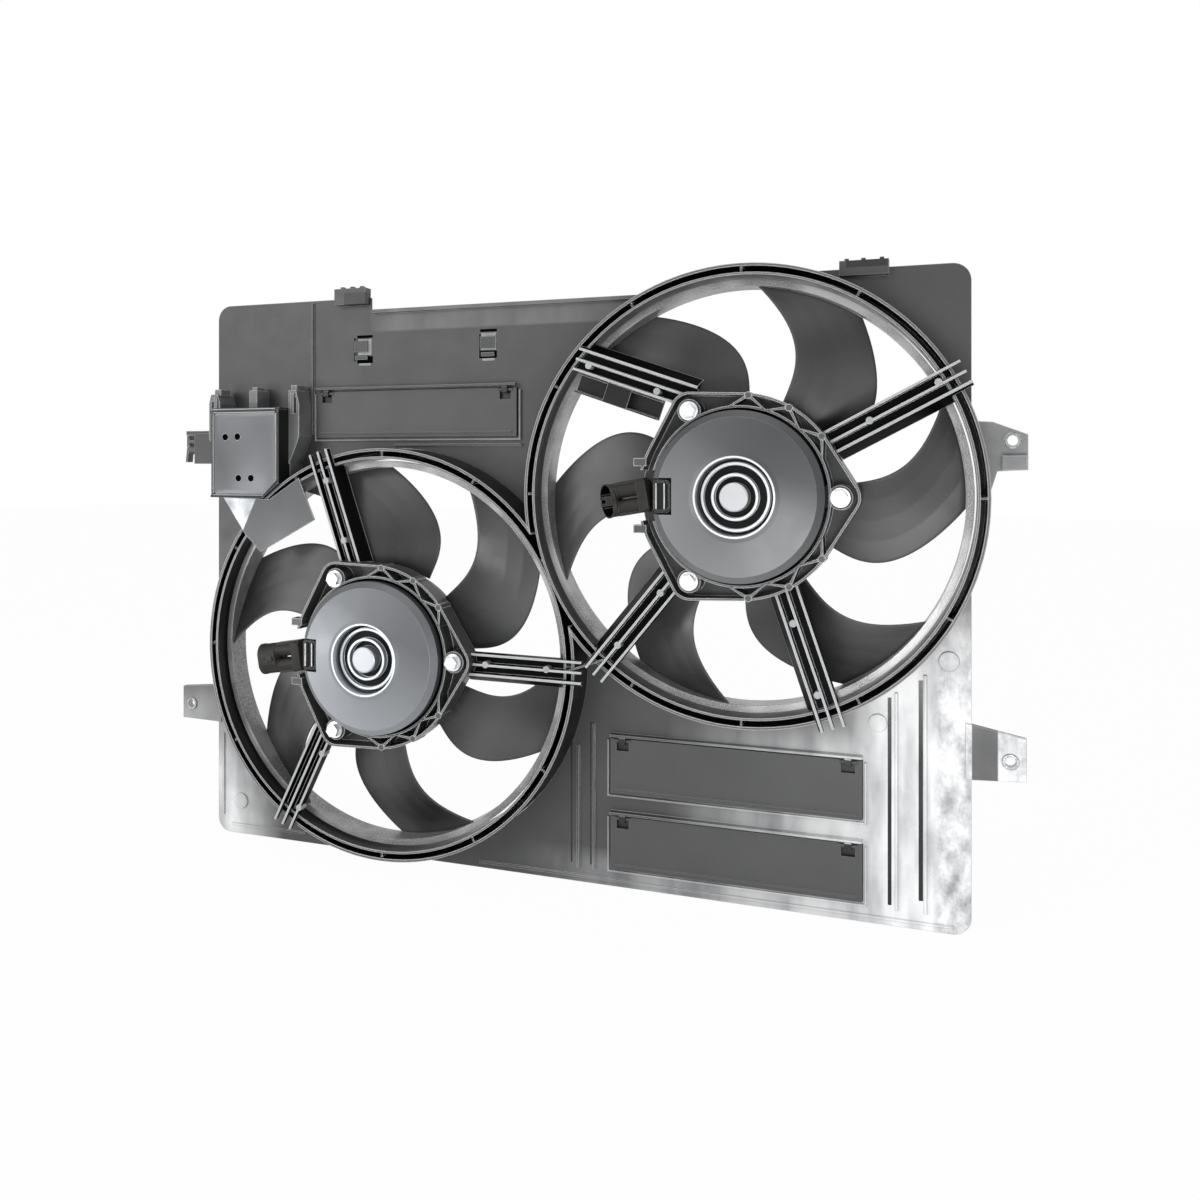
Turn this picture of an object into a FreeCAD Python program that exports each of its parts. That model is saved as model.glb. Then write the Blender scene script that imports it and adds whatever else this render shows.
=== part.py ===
import FreeCAD, Part
import Sketcher
import math
import os
import re
from FreeCAD import Placement, Rotation, Vector

# Twin radiator cooling fan assembly of a car, seen from the engine side.
# X runs to the right, Z up, and the engine side looks along +Y onto the part.
# The origin is the middle of the moulded panel's face that meets the radiator (y = 0).
# "Depth" below is the distance from that face towards the engine, so depth = -y.

# Driving sizes in millimetres and degrees

SIZES = {
    # moulded panel
    "panel_width": 646.0,
    "panel_height": 480.0,
    "panel_thick": 3.0,
    "corner_round": 13.0,
    "step_x": -164.0,
    "step_drop": 11.0,
    "seam_gap": 0.2,
    "seam_x": -222.0,
    # where the two fans sit: the middle between them, and how far apart they are
    "middle_x": 13.8,
    "middle_z": 5.3,
    "spacing_x": 300.2,
    "spacing_z": 134.6,
    # ring housings
    "ring_outer": 171.0,
    "ring_outer_wall": 2.2,
    "ring_bore": 162.5,
    "ring_inner_wall": 1.8,
    "ring_depth": 35.0,
    "ring_floor": 3.0,
    "ring_rib": 1.6,
    "ring_rib_height": 29.0,
    "ring_rib_count": 12.0,
    # fans
    "blade_count": 6.0,
    "blade_mid": 13.5,
    "blade_rise": 8.0,
    "blade_camber": 2.0,
    "blade_half_thick": 1.25,
    "blade_edge_thick": 0.7,
    "band_bore": 155.6,
    "band_wall": 2.4,
    "band_start": 5.0,
    "band_end": 24.0,
    "band_flange": 160.8,
    "band_flange_thick": 2.2,
    "hub_outer": 68.0,
    "hub_wall": 2.5,
    "hub_start": 5.0,
    "hub_end": 24.0,
    "hub_disc": 2.6,
    "hub_boss": 10.0,
    "hub_boss_end": 10.0,
    "hub_round": 4.0,
    "fan_turn_right": 85.8,
    "fan_turn_left": 60.5,
    # shaft, bearings and nut
    "shaft_radius": 4.0,
    "shaft_start": 1.0,
    "shaft_end": 48.6,
    "running_fit": 0.05,
    "bearing_outer": 9.0,
    "bearing_width": 5.0,
    "nut_radius": 7.5,
    "nut_start": 0.6,
    # motor
    "can_radius": 60.2,
    "can_wall": 1.6,
    "can_start": 12.0,
    "can_end": 48.6,
    "ear_start": 26.0,
    "ear_thick": 2.6,
    "ear_half_width": 8.0,
    "ear_reach": 80.0,
    "magnet_bore": 41.0,
    "magnet_start": 17.0,
    "magnet_end": 36.0,
    "core_radius": 40.0,
    "core_bore": 4.3,
    "core_start": 21.0,
    "core_end": 33.0,
    "winding_outer": 37.0,
    "winding_inner": 14.0,
    "winding_thick": 2.4,
    "commutator_radius": 11.0,
    "commutator_end": 42.0,
    "brush_plate_bore": 13.0,
    "brush_plate_outer": 56.0,
    "brush_plate_start": 43.4,
    "brush_plate_thick": 2.0,
    "brush_length": 14.0,
    "brush_width": 7.0,
    "cap_radius": 62.4,
    "cap_wall": 1.8,
    "cap_start": 46.5,
    "cap_shoulder": 53.0,
    "cap_edge": 57.0,
    "cap_top": 62.0,
    "well_outer": 29.6,
    "well_floor": 52.5,
    "well_ring": 24.0,
    "well_ring_low": 55.5,
    "well_step": 16.0,
    "well_step_low": 57.5,
    "button_radius": 10.4,
    # motor carrier
    "carrier_start": 29.0,
    "carrier_end": 46.0,
    "carrier_floor": 2.0,
    "carrier_bore": 64.4,
    "carrier_wall": 1.8,
    "carrier_rim": 75.4,
    "bolt_circle": 72.3,
    "lobe_radius": 14.0,
    "seat_radius": 8.7,
    "seat_drop": 1.0,
    "boss_radius": 2.7,
    "truss_half": 12.0,
    "truss_thick": 1.8,
    "bolt_radius": 3.0,
    "bolt_hole": 3.4,
    "bolt_flange": 7.0,
    "bolt_flange_thick": 1.4,
    "bolt_head": 5.6,
    "bolt_head_height": 4.6,
    # spokes
    "spoke_top": 39.0,
    "spoke_floor": 30.0,
    "spoke_floor_thick": 2.0,
    "spoke_rib": 1.8,
    "spoke_half": 8.0,
    "spoke_lean": 6.0,
    "spoke_low": 27.0,
    "spoke_reach": 178.0,
    # two latch recesses in the panel
    "clip_left_x": -173.0,
    "clip_left_z": 195.5,
    "clip_right_x": -53.0,
    "clip_right_z": 194.5,
    "clip_recess_half": 8.0,
    "clip_floor": 1.0,
    # flaps
    "flap_gap": 0.9,
    "flap_thick": 2.0,
    "flap_overlap": 7.0,
    "pin_radius": 1.5,
    "pin_clearance": 0.3,
    "pin_above": 1.5,
    "notch_width": 10.0,
    "notch_height": 8.0,
    "notch_inset": 5.0,
    "hook_width": 5.0,
    "hook_half": 2.7,
    "flap_u_left": -216.0,
    "flap_u_right": -26.0,
    "flap_u_top": 157.5,
    "flap_u_bottom": 119.0,
    "flap_a_left": 55.0,
    "flap_a_right": 248.0,
    "flap_a_top": -123.0,
    "flap_a_bottom": -165.0,
    "flap_b_left": 55.0,
    "flap_b_right": 248.0,
    "flap_b_top": -184.5,
    "flap_b_bottom": -225.0,
    # mounting lugs, each hole given by how far it is outside the panel's edge and its height
    "lug_left_out": 28.0,
    "lug_left_z": -125.5,
    "lug_low_out": 25.5,
    "lug_low_z": -112.6,
    "lug_high_out": 27.0,
    "lug_high_z": 112.8,
    "lug_thick": 5.0,
    "lug_hole": 5.6,
    "hook_root": -345.0,
    "hook_length": 21.0,
    "hook_radius": 4.2,
    "sleeve_bore": 3.6,
    "sleeve_wall": 1.8,
    # harness clip
    "clip_start": 22.0,
    "clip_length": 70.0,
    "clip_width": 15.5,
    "clip_height": 8.0,
    "clip_wall": 1.5,
    # control module
    "module_left": -302.0,
    "module_right": -236.0,
    "module_bottom": 69.0,
    "module_top": 141.0,
    "module_start": 6.0,
    "module_end": 25.0,
    "module_chamfer": 9.0,
    "holder_wall": 2.0,
    "holder_end": 21.0,
    "part_gap": 0.3,
    # connectors
    "plug_half_height": 13.0,
    "plug_start": 36.0,
    "plug_end": 56.0,
    "plug_length": 42.0,
    "plug_inner_reach": 64.0,
    "plug_wall": 2.0,
    "plug_depth": 17.0,
    "plug_foot": 16.0,
    "plug_turn_right": 10.0,
    "plug_turn_left": 9.0,
    "plug_raise_right": 12.5,
    "plug_raise_left": 8.4,
    "terminal_thick": 0.9,
    "terminal_width": 6.0,
    "terminal_length": 12.0,
}

# Blade sections: edge radius, middle angle and half angle of the blade at that radius
BLADE_SECTIONS = [
    ("root", 60.0, -39.0, 19.5),
    ("low", 88.0, -37.5, 19.0),
    ("middle", 105.0, -35.2, 18.2),
    ("high", 128.0, -27.2, 16.3),
    ("tip", 155.0, -14.5, 14.5),
    ("past", 166.0, -9.5, 14.0),
]
for section, edge_radius, middle_angle, half_angle in BLADE_SECTIONS:
    SIZES["blade_radius_" + section] = edge_radius
    SIZES["blade_angle_" + section] = middle_angle
    SIZES["blade_half_" + section] = half_angle

doc = FreeCAD.newDocument("radiator_fan_assembly")
sheet = doc.addObject("Spreadsheet::Sheet", "size")
for row, (name, value) in enumerate(SIZES.items(), start=1):
    sheet.set("A%d" % row, name)
    sheet.set("B%d" % row, repr(value))
    sheet.setAlias("B%d" % row, name)
doc.recompute()

NODES = []
FUNCTIONS = ("sin", "cos", "tan", "sqrt", "atan")


def cells(text):
    """Turn the size names in a formula into references to the sheet."""
    def swap(match):
        word = match.group(0)
        return word if word in FUNCTIONS else "size." + word
    return re.sub(r"[a-z][a-z_]{2,}", swap, text)


def plane(body, role):
    """One of a body's own origin planes."""
    for feature in body.Origin.OriginFeatures:
        if feature.Role == role:
            return feature


def new_body(label, x="0", z="0", turn=None):
    """A body placed at a point of the panel, turned about the line of sight."""
    body = doc.addObject("PartDesign::Body", label)
    body.Label = label
    body.AllowCompound = True
    if turn is not None:
        body.Placement = Placement(Vector(0, 0, 0), Rotation(Vector(0, -1, 0), 1.0))
        body.setExpression("Placement.Rotation.Angle", cells(turn))
    body.setExpression("Placement.Base.x", cells(x))
    body.setExpression("Placement.Base.z", cells(z))
    NODES.append(body)
    return body


def flat_sketch(body, name, start="0", turn=0.0):
    """A sketch seen from the engine side, at a depth, turned anticlockwise."""
    sketch = body.newObject("Sketcher::SketchObject", body.Label + "_" + name)
    sketch.AttachmentSupport = [(plane(body, "XZ_Plane"), "")]
    sketch.MapMode = "FlatFace"
    sketch.AttachmentOffset = Placement(Vector(0, 0, 0), Rotation(Vector(0, 0, 1), turn))
    sketch.setExpression("AttachmentOffset.Base.z", cells(start))
    return sketch


def turning_sketch(body, name):
    """A sketch of radius against depth, to be turned about the fan's axis."""
    sketch = body.newObject("Sketcher::SketchObject", body.Label + "_" + name)
    sketch.AttachmentSupport = [(plane(body, "XY_Plane"), "")]
    sketch.MapMode = "FlatFace"
    return sketch


def radial_sketch(body, name, base_radius, base_angle, direction):
    """A cross-section sketch square to a direction that leaves the axis."""
    sketch = body.newObject("Sketcher::SketchObject", body.Label + "_" + name)
    sketch.AttachmentSupport = [(plane(body, "YZ_Plane"), "")]
    sketch.MapMode = "FlatFace"
    sketch.AttachmentOffset = Placement(Vector(0, 0, 0), Rotation(Vector(-1, 0, 0), 1.0))
    sketch.setExpression("AttachmentOffset.Rotation.Angle", cells(direction))
    sketch.setExpression("AttachmentOffset.Base.y", cells("(%s) * sin(%s)" % (base_radius, base_angle)))
    sketch.setExpression("AttachmentOffset.Base.z", cells("(%s) * cos(%s)" % (base_radius, base_angle)))
    return sketch


def corners(sketch, points):
    """A closed polygon whose corners are held by formulas of the sheet."""
    count = len(points)
    first = sketch.GeometryCount
    guess = []
    for index in range(count):
        turn = 2 * math.pi * index / count + 0.1
        guess.append(Vector(20 * math.cos(turn), 20 * math.sin(turn), 0))
    lines = [Part.LineSegment(guess[i], guess[(i + 1) % count]) for i in range(count)]
    sketch.addGeometry(lines, False)
    rules = []
    formulas = []
    start = sketch.ConstraintCount
    for index in range(count):
        rules.append(Sketcher.Constraint("Coincident", first + index, 2, first + (index + 1) % count, 1))
    for index, (across, along) in enumerate(points):
        for kind, axis, formula, here in (
            ("DistanceX", -2, across, guess[index].x),
            ("DistanceY", -1, along, guess[index].y),
        ):
            if formula == "0":
                rules.append(Sketcher.Constraint("PointOnObject", first + index, 1, axis))
            else:
                rules.append(Sketcher.Constraint(kind, -1, 1, first + index, 1, here))
                formulas.append((start + len(rules) - 1, formula))
    sketch.addConstraint(rules)
    for number, formula in formulas:
        sketch.setExpression("Constraints[%d]" % number, cells(formula))


def circle(sketch, radius, across="0", along="0"):
    """A circle with its centre and radius held by formulas of the sheet."""
    number = sketch.GeometryCount
    sketch.addGeometry(Part.Circle(Vector(3, 3, 0), Vector(0, 0, 1), 5), False)
    for kind, axis, formula in (("DistanceX", -2, across), ("DistanceY", -1, along)):
        if formula == "0":
            sketch.addConstraint(Sketcher.Constraint("PointOnObject", number, 3, axis))
        else:
            rule = sketch.addConstraint(Sketcher.Constraint(kind, -1, 1, number, 3, 3.0))
            sketch.setExpression("Constraints[%d]" % rule, cells(formula))
    rule = sketch.addConstraint(Sketcher.Constraint("Radius", number, 5.0))
    sketch.setExpression("Constraints[%d]" % rule, cells(radius))


def box_outline(sketch, left, right, bottom, top):
    """A rectangle between four formulas."""
    corners(sketch, [(left, bottom), (right, bottom), (right, top), (left, top)])


def pad(body, sketch, length):
    """Add a sketch's outline, from its depth towards the engine."""
    feature = body.newObject("PartDesign::Pad", sketch.Label + "_pad")
    feature.Profile = sketch
    feature.setExpression("Length", cells(length))
    sketch.Visibility = False
    return feature


def pocket(body, sketch, length):
    """Remove a sketch's outline, from its depth towards the engine."""
    feature = body.newObject("PartDesign::Pocket", sketch.Label + "_cut")
    feature.Profile = sketch
    feature.Reversed = True
    feature.setExpression("Length", cells(length))
    return feature


def turned(body, sketch):
    """Turn a sketch of radius and depth right round the fan's axis."""
    feature = body.newObject("PartDesign::Revolution", sketch.Label + "_turn")
    feature.Profile = sketch
    feature.ReferenceAxis = (sketch, ["V_Axis"])
    feature.Angle = 360
    return feature


def around(body, sketch, features, count):
    """Repeat features evenly about the sketch's normal."""
    pattern = body.newObject("PartDesign::PolarPattern", sketch.Label + "_round")
    pattern.Originals = features
    pattern.Axis = (sketch, ["N_Axis"])
    pattern.Angle = 360
    pattern.setExpression("Occurrences", cells(count))
    body.Tip = pattern
    return pattern


def lathe(label, place, profile, turn=None):
    """A body of revolution from (radius, depth) formulas."""
    body = new_body(label, place[0], place[1], turn)
    sketch = turning_sketch(body, "profile")
    corners(sketch, [(radius, "0" if depth == "0" else "-(%s)" % depth) for radius, depth in profile])
    turned(body, sketch)
    return body


def size(name):
    """The value of one size."""
    return SIZES[name]


PLACES = {
    "left": ("middle_x - spacing_x / 2", "middle_z - spacing_z / 2"),
    "right": ("middle_x + spacing_x / 2", "middle_z + spacing_z / 2"),
}
NEIGHBOUR_TURN = math.degrees(math.atan2(size("spacing_z"), size("spacing_x")))
HALF_SPACING = "sqrt(spacing_x * spacing_x + spacing_z * spacing_z) / 2"

# Moulded panel, in the four fields that the two rings leave of it

EDGE_X = "panel_width / 2"
EDGE_Z = "panel_height / 2"
LUG_HOLES = {
    "left": ("-(%s + lug_left_out)" % EDGE_X, "lug_left_z"),
    "low": (EDGE_X + " + lug_low_out", "lug_low_z"),
    "high": (EDGE_X + " + lug_high_out", "lug_high_z"),
}


def panel_field(label, outline):
    """One field of the panel with both ring openings taken out of it."""
    body = new_body(label)
    sketch = flat_sketch(body, "outline")
    corners(sketch, outline)
    pad(body, sketch, "panel_thick")
    return body


def clear_rings(body, sides=("left", "right")):
    """Cut the round openings that the ring housings stand in."""
    for side in sides:
        sketch = flat_sketch(body, "opening_" + side)
        circle(sketch, "ring_outer + seam_gap", *PLACES[side])
        pocket(body, sketch, "lug_thick + panel_thick + 10")


def add_block(body, name, left, right, bottom, top, start, length):
    """A plain block of the moulding."""
    sketch = flat_sketch(body, name, start)
    box_outline(sketch, left, right, bottom, top)
    return pad(body, sketch, length)


def cut_block(body, name, left, right, bottom, top, start, length):
    """A rectangular opening in the moulding."""
    sketch = flat_sketch(body, name, start)
    box_outline(sketch, left, right, bottom, top)
    return pocket(body, sketch, length)


def add_boss(body, name, across, along, radius, start, length, hole=None):
    """A round boss, with a hole through it if one is given."""
    sketch = flat_sketch(body, name, start)
    circle(sketch, radius, across, along)
    if hole is not None:
        circle(sketch, hole, across, along)
    return pad(body, sketch, length)


def cut_round(body, name, across, along, radius, start, length):
    """A round opening."""
    sketch = flat_sketch(body, name, start)
    circle(sketch, radius, across, along)
    return pocket(body, sketch, length)


def round_corner(body, across, along, radius):
    """Round the upright edge of the body nearest to a corner."""
    doc.recompute()
    tip = body.Tip
    best = None
    for number, edge in enumerate(tip.Shape.Edges, start=1):
        ends = [vertex.Point for vertex in edge.Vertexes]
        if len(ends) != 2 or (ends[0] - ends[1]).cross(Vector(0, 1, 0)).Length > 1e-6:
            continue
        far = math.hypot(ends[0].x - across, ends[0].z - along)
        if best is None or far < best[0]:
            best = (far, number)
    fillet = body.newObject("PartDesign::Fillet", body.Label + "_round_%d" % best[1])
    fillet.Base = (tip, ["Edge%d" % best[1]])
    fillet.setExpression("Radius", cells(radius))
    return fillet


def flap_window(body, flap):
    """A window behind a flap, a ledge above it and the two hooks that hold its pin."""
    left, right = flap + "_left", flap + "_right"
    bottom, top = flap + "_bottom", flap + "_top"
    cut_block(body, flap + "_window", left + " + flap_overlap", right + " - flap_overlap",
              bottom + " + flap_overlap", top + " - flap_overlap - hook_half", "0", "panel_thick")
    add_block(body, flap + "_ledge", left, right, top + " + hook_half + 0.6", top + " + hook_half + 2.4",
              "panel_thick", "6")
    axis_depth = "panel_thick + flap_gap + pin_radius"
    for name, middle in (
        ("near", left + " + notch_inset + notch_width / 2"),
        ("far", right + " - notch_inset - notch_width / 2"),
    ):
        sketch = body.newObject("Sketcher::SketchObject", "%s_%s_%s_hook" % (body.Label, flap, name))
        sketch.AttachmentSupport = [(plane(body, "YZ_Plane"), "")]
        sketch.MapMode = "FlatFace"
        sketch.setExpression("AttachmentOffset.Base.z", cells(middle + " - hook_width / 2"))
        outer = "-(%s + hook_half)" % axis_depth
        corners(sketch, [
            ("-panel_thick", top + " - hook_half"),
            ("-panel_thick", top + " + hook_half"),
            (outer, top + " + hook_half"),
            (outer, top + " - hook_half"),
        ])
        circle(sketch, "pin_radius + pin_clearance", "-(%s)" % axis_depth, top)
        pad(body, sketch, "hook_width")


LEFT_X, LEFT_Z = PLACES["left"]
RIGHT_X, RIGHT_Z = PLACES["right"]

upper = panel_field("panel_upper", [
    ("-(%s)" % EDGE_X, LEFT_Z),
    ("-(%s)" % EDGE_X, EDGE_Z),
    ("step_x", EDGE_Z),
    ("step_x", EDGE_Z + " - step_drop"),
    (RIGHT_X, EDGE_Z + " - step_drop"),
    (RIGHT_X, RIGHT_Z),
    (LEFT_X, LEFT_Z),
])
clear_rings(upper)
round_corner(upper, -size("panel_width") / 2, size("panel_height") / 2, "corner_round")
flap_window(upper, "flap_u")
for name, across, along in (("left", "clip_left_x", "clip_left_z"), ("right", "clip_right_x", "clip_right_z")):
    # a shallow recess with a latch tongue and a bar below it
    cut_block(upper, "clip_recess_" + name, across + " - clip_recess_half", across + " + clip_recess_half",
              along + " - 10.5", along + " + 10.5", "clip_floor", "panel_thick - clip_floor")
    add_block(upper, "clip_tongue_" + name, across + " - 6.5", across + " + 6.5",
              along + " - 2.5", along + " + 7.5", "clip_floor", "3.6")
    add_block(upper, "clip_bar_" + name, across + " - 6", across + " + 6",
              along + " - 9", along + " - 5.5", "clip_floor", "2.6")
add_block(upper, "long_rib", "-140", "-22", "111", "113", "panel_thick", "2.4")
add_block(upper, "top_strip", "step_x + 4", "88", EDGE_Z + " - step_drop - 3", EDGE_Z + " - step_drop",
          "panel_thick", "5")
add_block(upper, "seam_rib", "seam_x - 1", "seam_x + 1", "122", EDGE_Z + " - 2", "panel_thick", "2")
add_block(upper, "tower", "-196", "-165", EDGE_Z + " - 6", EDGE_Z + " + 8", "1", "9")
for number, offset in enumerate(("-190", "-180.5", "-171")):
    add_block(upper, "tower_nub_%d" % number, offset + " - 1.5", offset + " + 1.5",
              EDGE_Z + " + 8", EDGE_Z + " + 10", "3", "4")
add_block(upper, "lug_upper", "hook_root", "-(%s) + 4" % EDGE_X, "96", "124", "0", "hook_radius * 2 + 1")

lower = panel_field("panel_lower", [
    (LEFT_X, LEFT_Z),
    (RIGHT_X, RIGHT_Z),
    (EDGE_X, RIGHT_Z),
    (EDGE_X, "-(%s)" % EDGE_Z),
    (LEFT_X, "-(%s)" % EDGE_Z),
])
clear_rings(lower)
round_corner(lower, size("panel_width") / 2, -size("panel_height") / 2, "corner_round")
flap_window(lower, "flap_a")
flap_window(lower, "flap_b")
for number, (across, top) in enumerate((("27", "-130"), ("40", "-112"), ("272", "-70"), ("292", "-56"))):
    add_block(lower, "upright_rib_%d" % number, across + " - 1", across + " + 1", "-228", top, "panel_thick", "2")
add_boss(lower, "round_boss_high", "308", "-45", "7", "panel_thick", "1.6")
add_boss(lower, "round_boss_low", "259", "-93", "6.5", "panel_thick", "1.6")
add_block(lower, "bottom_border", "-60", EDGE_X + " - 12", "-236", "-234", "panel_thick", "1.6")
sketch = flat_sketch(lower, "lug_outline")
corners(sketch, [
    (EDGE_X + " - 4", "lug_low_z + 24.6"),
    (EDGE_X + " + 36", "lug_low_z + 16.6"),
    (EDGE_X + " + 36", "lug_low_z - 13.4"),
    (EDGE_X + " - 4", "lug_low_z - 15.4"),
])
pad(lower, sketch, "lug_thick")
cut_round(lower, "lug_hole_lower", *LUG_HOLES["low"], "lug_hole", "0", "lug_thick")

corner_left = panel_field("panel_corner_left", [
    (LEFT_X, LEFT_Z),
    (LEFT_X, "-(%s)" % EDGE_Z),
    ("-(%s)" % EDGE_X, "-(%s)" % EDGE_Z),
    ("-(%s)" % EDGE_X, LEFT_Z),
])
clear_rings(corner_left, ("left",))
round_corner(corner_left, -size("panel_width") / 2, -size("panel_height") / 2, "corner_round")
add_boss(corner_left, "round_boss", "-298", "-210", "7", "panel_thick", "1.6")
add_block(corner_left, "border_upright", "-318", "-316", "-224", "-150", "panel_thick", "1.6")
add_block(corner_left, "border_flat", "-308", "-230", "-233", "-231", "panel_thick", "1.6")
sketch = flat_sketch(corner_left, "lug_outline")
corners(sketch, [
    ("-(%s) + 4" % EDGE_X, "lug_left_z + 19.5"),
    ("-(%s) - 38" % EDGE_X, "lug_left_z + 15.5"),
    ("-(%s) - 38" % EDGE_X, "lug_left_z - 13.5"),
    ("-(%s) + 4" % EDGE_X, "lug_left_z - 14.5"),
])
pad(corner_left, sketch, "lug_thick")
cut_round(corner_left, "lug_hole_lower", *LUG_HOLES["left"], "lug_hole", "0", "lug_thick")

corner_right = panel_field("panel_corner_right", [
    (RIGHT_X, RIGHT_Z),
    (EDGE_X, RIGHT_Z),
    (EDGE_X, EDGE_Z),
    (RIGHT_X, EDGE_Z),
])
clear_rings(corner_right, ("right",))
round_corner(corner_right, size("panel_width") / 2, size("panel_height") / 2, "corner_round")
add_block(corner_right, "tower", "232", "267", EDGE_Z + " - 6", EDGE_Z + " + 5", "1", "9")
for number, offset in enumerate(("237", "249", "262")):
    add_block(corner_right, "tower_nub_%d" % number, offset + " - 1.5", offset + " + 1.5",
              EDGE_Z + " + 5", EDGE_Z + " + 7", "3", "4")

# Ring housings: two thin walls round a deep channel with cross ribs

rings = {}
for side in ("left", "right"):
    body = new_body(side + "_ring", *PLACES[side])
    rings[side] = body
    sketch = turning_sketch(body, "profile")
    wall_in = "ring_bore + ring_inner_wall"
    wall_out = "ring_outer - ring_outer_wall"
    corners(sketch, [
        ("ring_bore", "0"),
        ("ring_outer", "0"),
        ("ring_outer", "-ring_depth"),
        (wall_out, "-ring_depth"),
        (wall_out, "-ring_floor"),
        (wall_in, "-ring_floor"),
        (wall_in, "-ring_depth"),
        ("ring_bore", "-ring_depth"),
    ])
    turned(body, sketch)
    rib = flat_sketch(body, "rib", "ring_floor")
    box_outline(rib, wall_in + " - 0.4", wall_out + " + 0.4", "-ring_rib / 2", "ring_rib / 2")
    rib_pad = pad(body, rib, "ring_rib_height")
    around(body, rib, [rib_pad], "ring_rib_count")
    # the two housings meet on the line midway between the fans
    facing = NEIGHBOUR_TURN if side == "left" else NEIGHBOUR_TURN + 180
    halfway = flat_sketch(body, "halfway", "0", facing)
    box_outline(halfway, HALF_SPACING + " - seam_gap / 2", "ring_outer + 10", "-80", "80")
    pocket(body, halfway, "ring_depth")

# Motor carriers: a trussed ring with three bolted lobes

TRUSS_NODES = (36, 60, 84, -36, -60, -84)


def lobe(body, name, grow, start, length, take_away=False):
    """One lobe: a round end with straight sides that meet the rim."""
    rim = "(carrier_rim + %s)" % grow
    end = "(lobe_radius + %s)" % grow
    part = "(%s - %s) / bolt_circle" % (rim, end)
    side = "sqrt(1 - %s * %s)" % ("(%s)" % part, "(%s)" % part)
    disc = flat_sketch(body, name + "_end", start)
    circle(disc, end, "bolt_circle", "0")
    web = flat_sketch(body, name + "_web", start)
    corners(web, [
        ("%s * %s" % (rim, part), "%s * %s" % (rim, side)),
        ("%s * %s" % (rim, part), "-%s * %s" % (rim, side)),
        ("bolt_circle + %s * %s" % (end, part), "-%s * %s" % (end, side)),
        ("bolt_circle + %s * %s" % (end, part), "%s * %s" % (end, side)),
    ])
    make = pocket if take_away else pad
    return disc, [make(body, disc, length), make(body, web, length)]


carriers = {}
for side in ("left", "right"):
    body = new_body(side + "_motor_carrier", *PLACES[side])
    carriers[side] = body
    height = "carrier_end - carrier_start"
    sketch = flat_sketch(body, "rim", "carrier_start")
    circle(sketch, "carrier_rim")
    pad(body, sketch, height)
    disc, features = lobe(body, "lobe", "0", "carrier_start", height)
    around(body, disc, features, "3")
    inside = flat_sketch(body, "channel", "carrier_start + carrier_floor")
    circle(inside, "carrier_rim - carrier_wall")
    circle(inside, "carrier_bore + carrier_wall")
    pocket(body, inside, height)
    disc, features = lobe(body, "hollow", "-carrier_wall", "carrier_start + carrier_floor", height, True)
    around(body, disc, features, "3")
    # the outer rim and the motor's own ring run on through the hollow lobes
    ring = flat_sketch(body, "inner_wall", "carrier_start")
    circle(ring, "carrier_bore + carrier_wall")
    circle(ring, "carrier_bore")
    pad(body, ring, height)
    seat = flat_sketch(body, "seat", "carrier_start")
    circle(seat, "seat_radius", "bolt_circle", "0")
    seat_pad = pad(body, seat, height + " - seat_drop")
    around(body, seat, [seat_pad], "3")
    bore = flat_sketch(body, "bore", "carrier_start")
    circle(bore, "carrier_bore")
    pocket(body, bore, height)
    for angle in TRUSS_NODES:
        rib = flat_sketch(body, "truss_%d" % (angle % 360), "carrier_start", angle)
        foot_x = "(carrier_bore + carrier_wall / 2) * cos(truss_half)"
        foot_z = "(carrier_bore + carrier_wall / 2) * sin(truss_half)"
        tip_x = "carrier_rim - carrier_wall / 2"
        corners(rib, [
            (tip_x, "truss_thick / 2"),
            (foot_x, foot_z + " + truss_thick / 2"),
            (foot_x, foot_z + " - truss_thick / 2"),
            (tip_x + " - truss_thick * 1.2", "0"),
            (foot_x, "-%s + truss_thick / 2" % foot_z),
            (foot_x, "-%s - truss_thick / 2" % foot_z),
            (tip_x, "-truss_thick / 2"),
        ])
        pad(body, rib, height)
        knob = flat_sketch(body, "knob_%d" % (angle % 360), "carrier_start", angle)
        circle(knob, "boss_radius", "carrier_rim - carrier_wall", "0")
        pad(body, knob, height + " + 0.6")
    # the rim is open on the plug's side
    cut_block(body, "plug_gap", "-(carrier_rim + 2)", "-carrier_bore * 0.7", "-19", "19",
              "carrier_start + carrier_floor", height)
    holes = flat_sketch(body, "bolt_hole", "carrier_start")
    circle(holes, "bolt_hole", "bolt_circle", "0")
    hole_cut = pocket(body, holes, height)
    flange_room = cut_round(body, "flange_room", "bolt_circle", "0", "bolt_flange + part_gap",
                            "carrier_end - seat_drop", "seat_drop")
    around(body, holes, [hole_cut, flange_room], "3")
    # small guides for the leads above and below the plug
    for name, low, high in (("upper", "22", "28"), ("lower", "-28", "-22")):
        add_block(body, "guide_" + name, "-(carrier_rim + 3)", "-(carrier_rim - 7)", low, high,
                  "carrier_end - 9", "9")

# Raked spokes from each carrier over its ring housing

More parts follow.
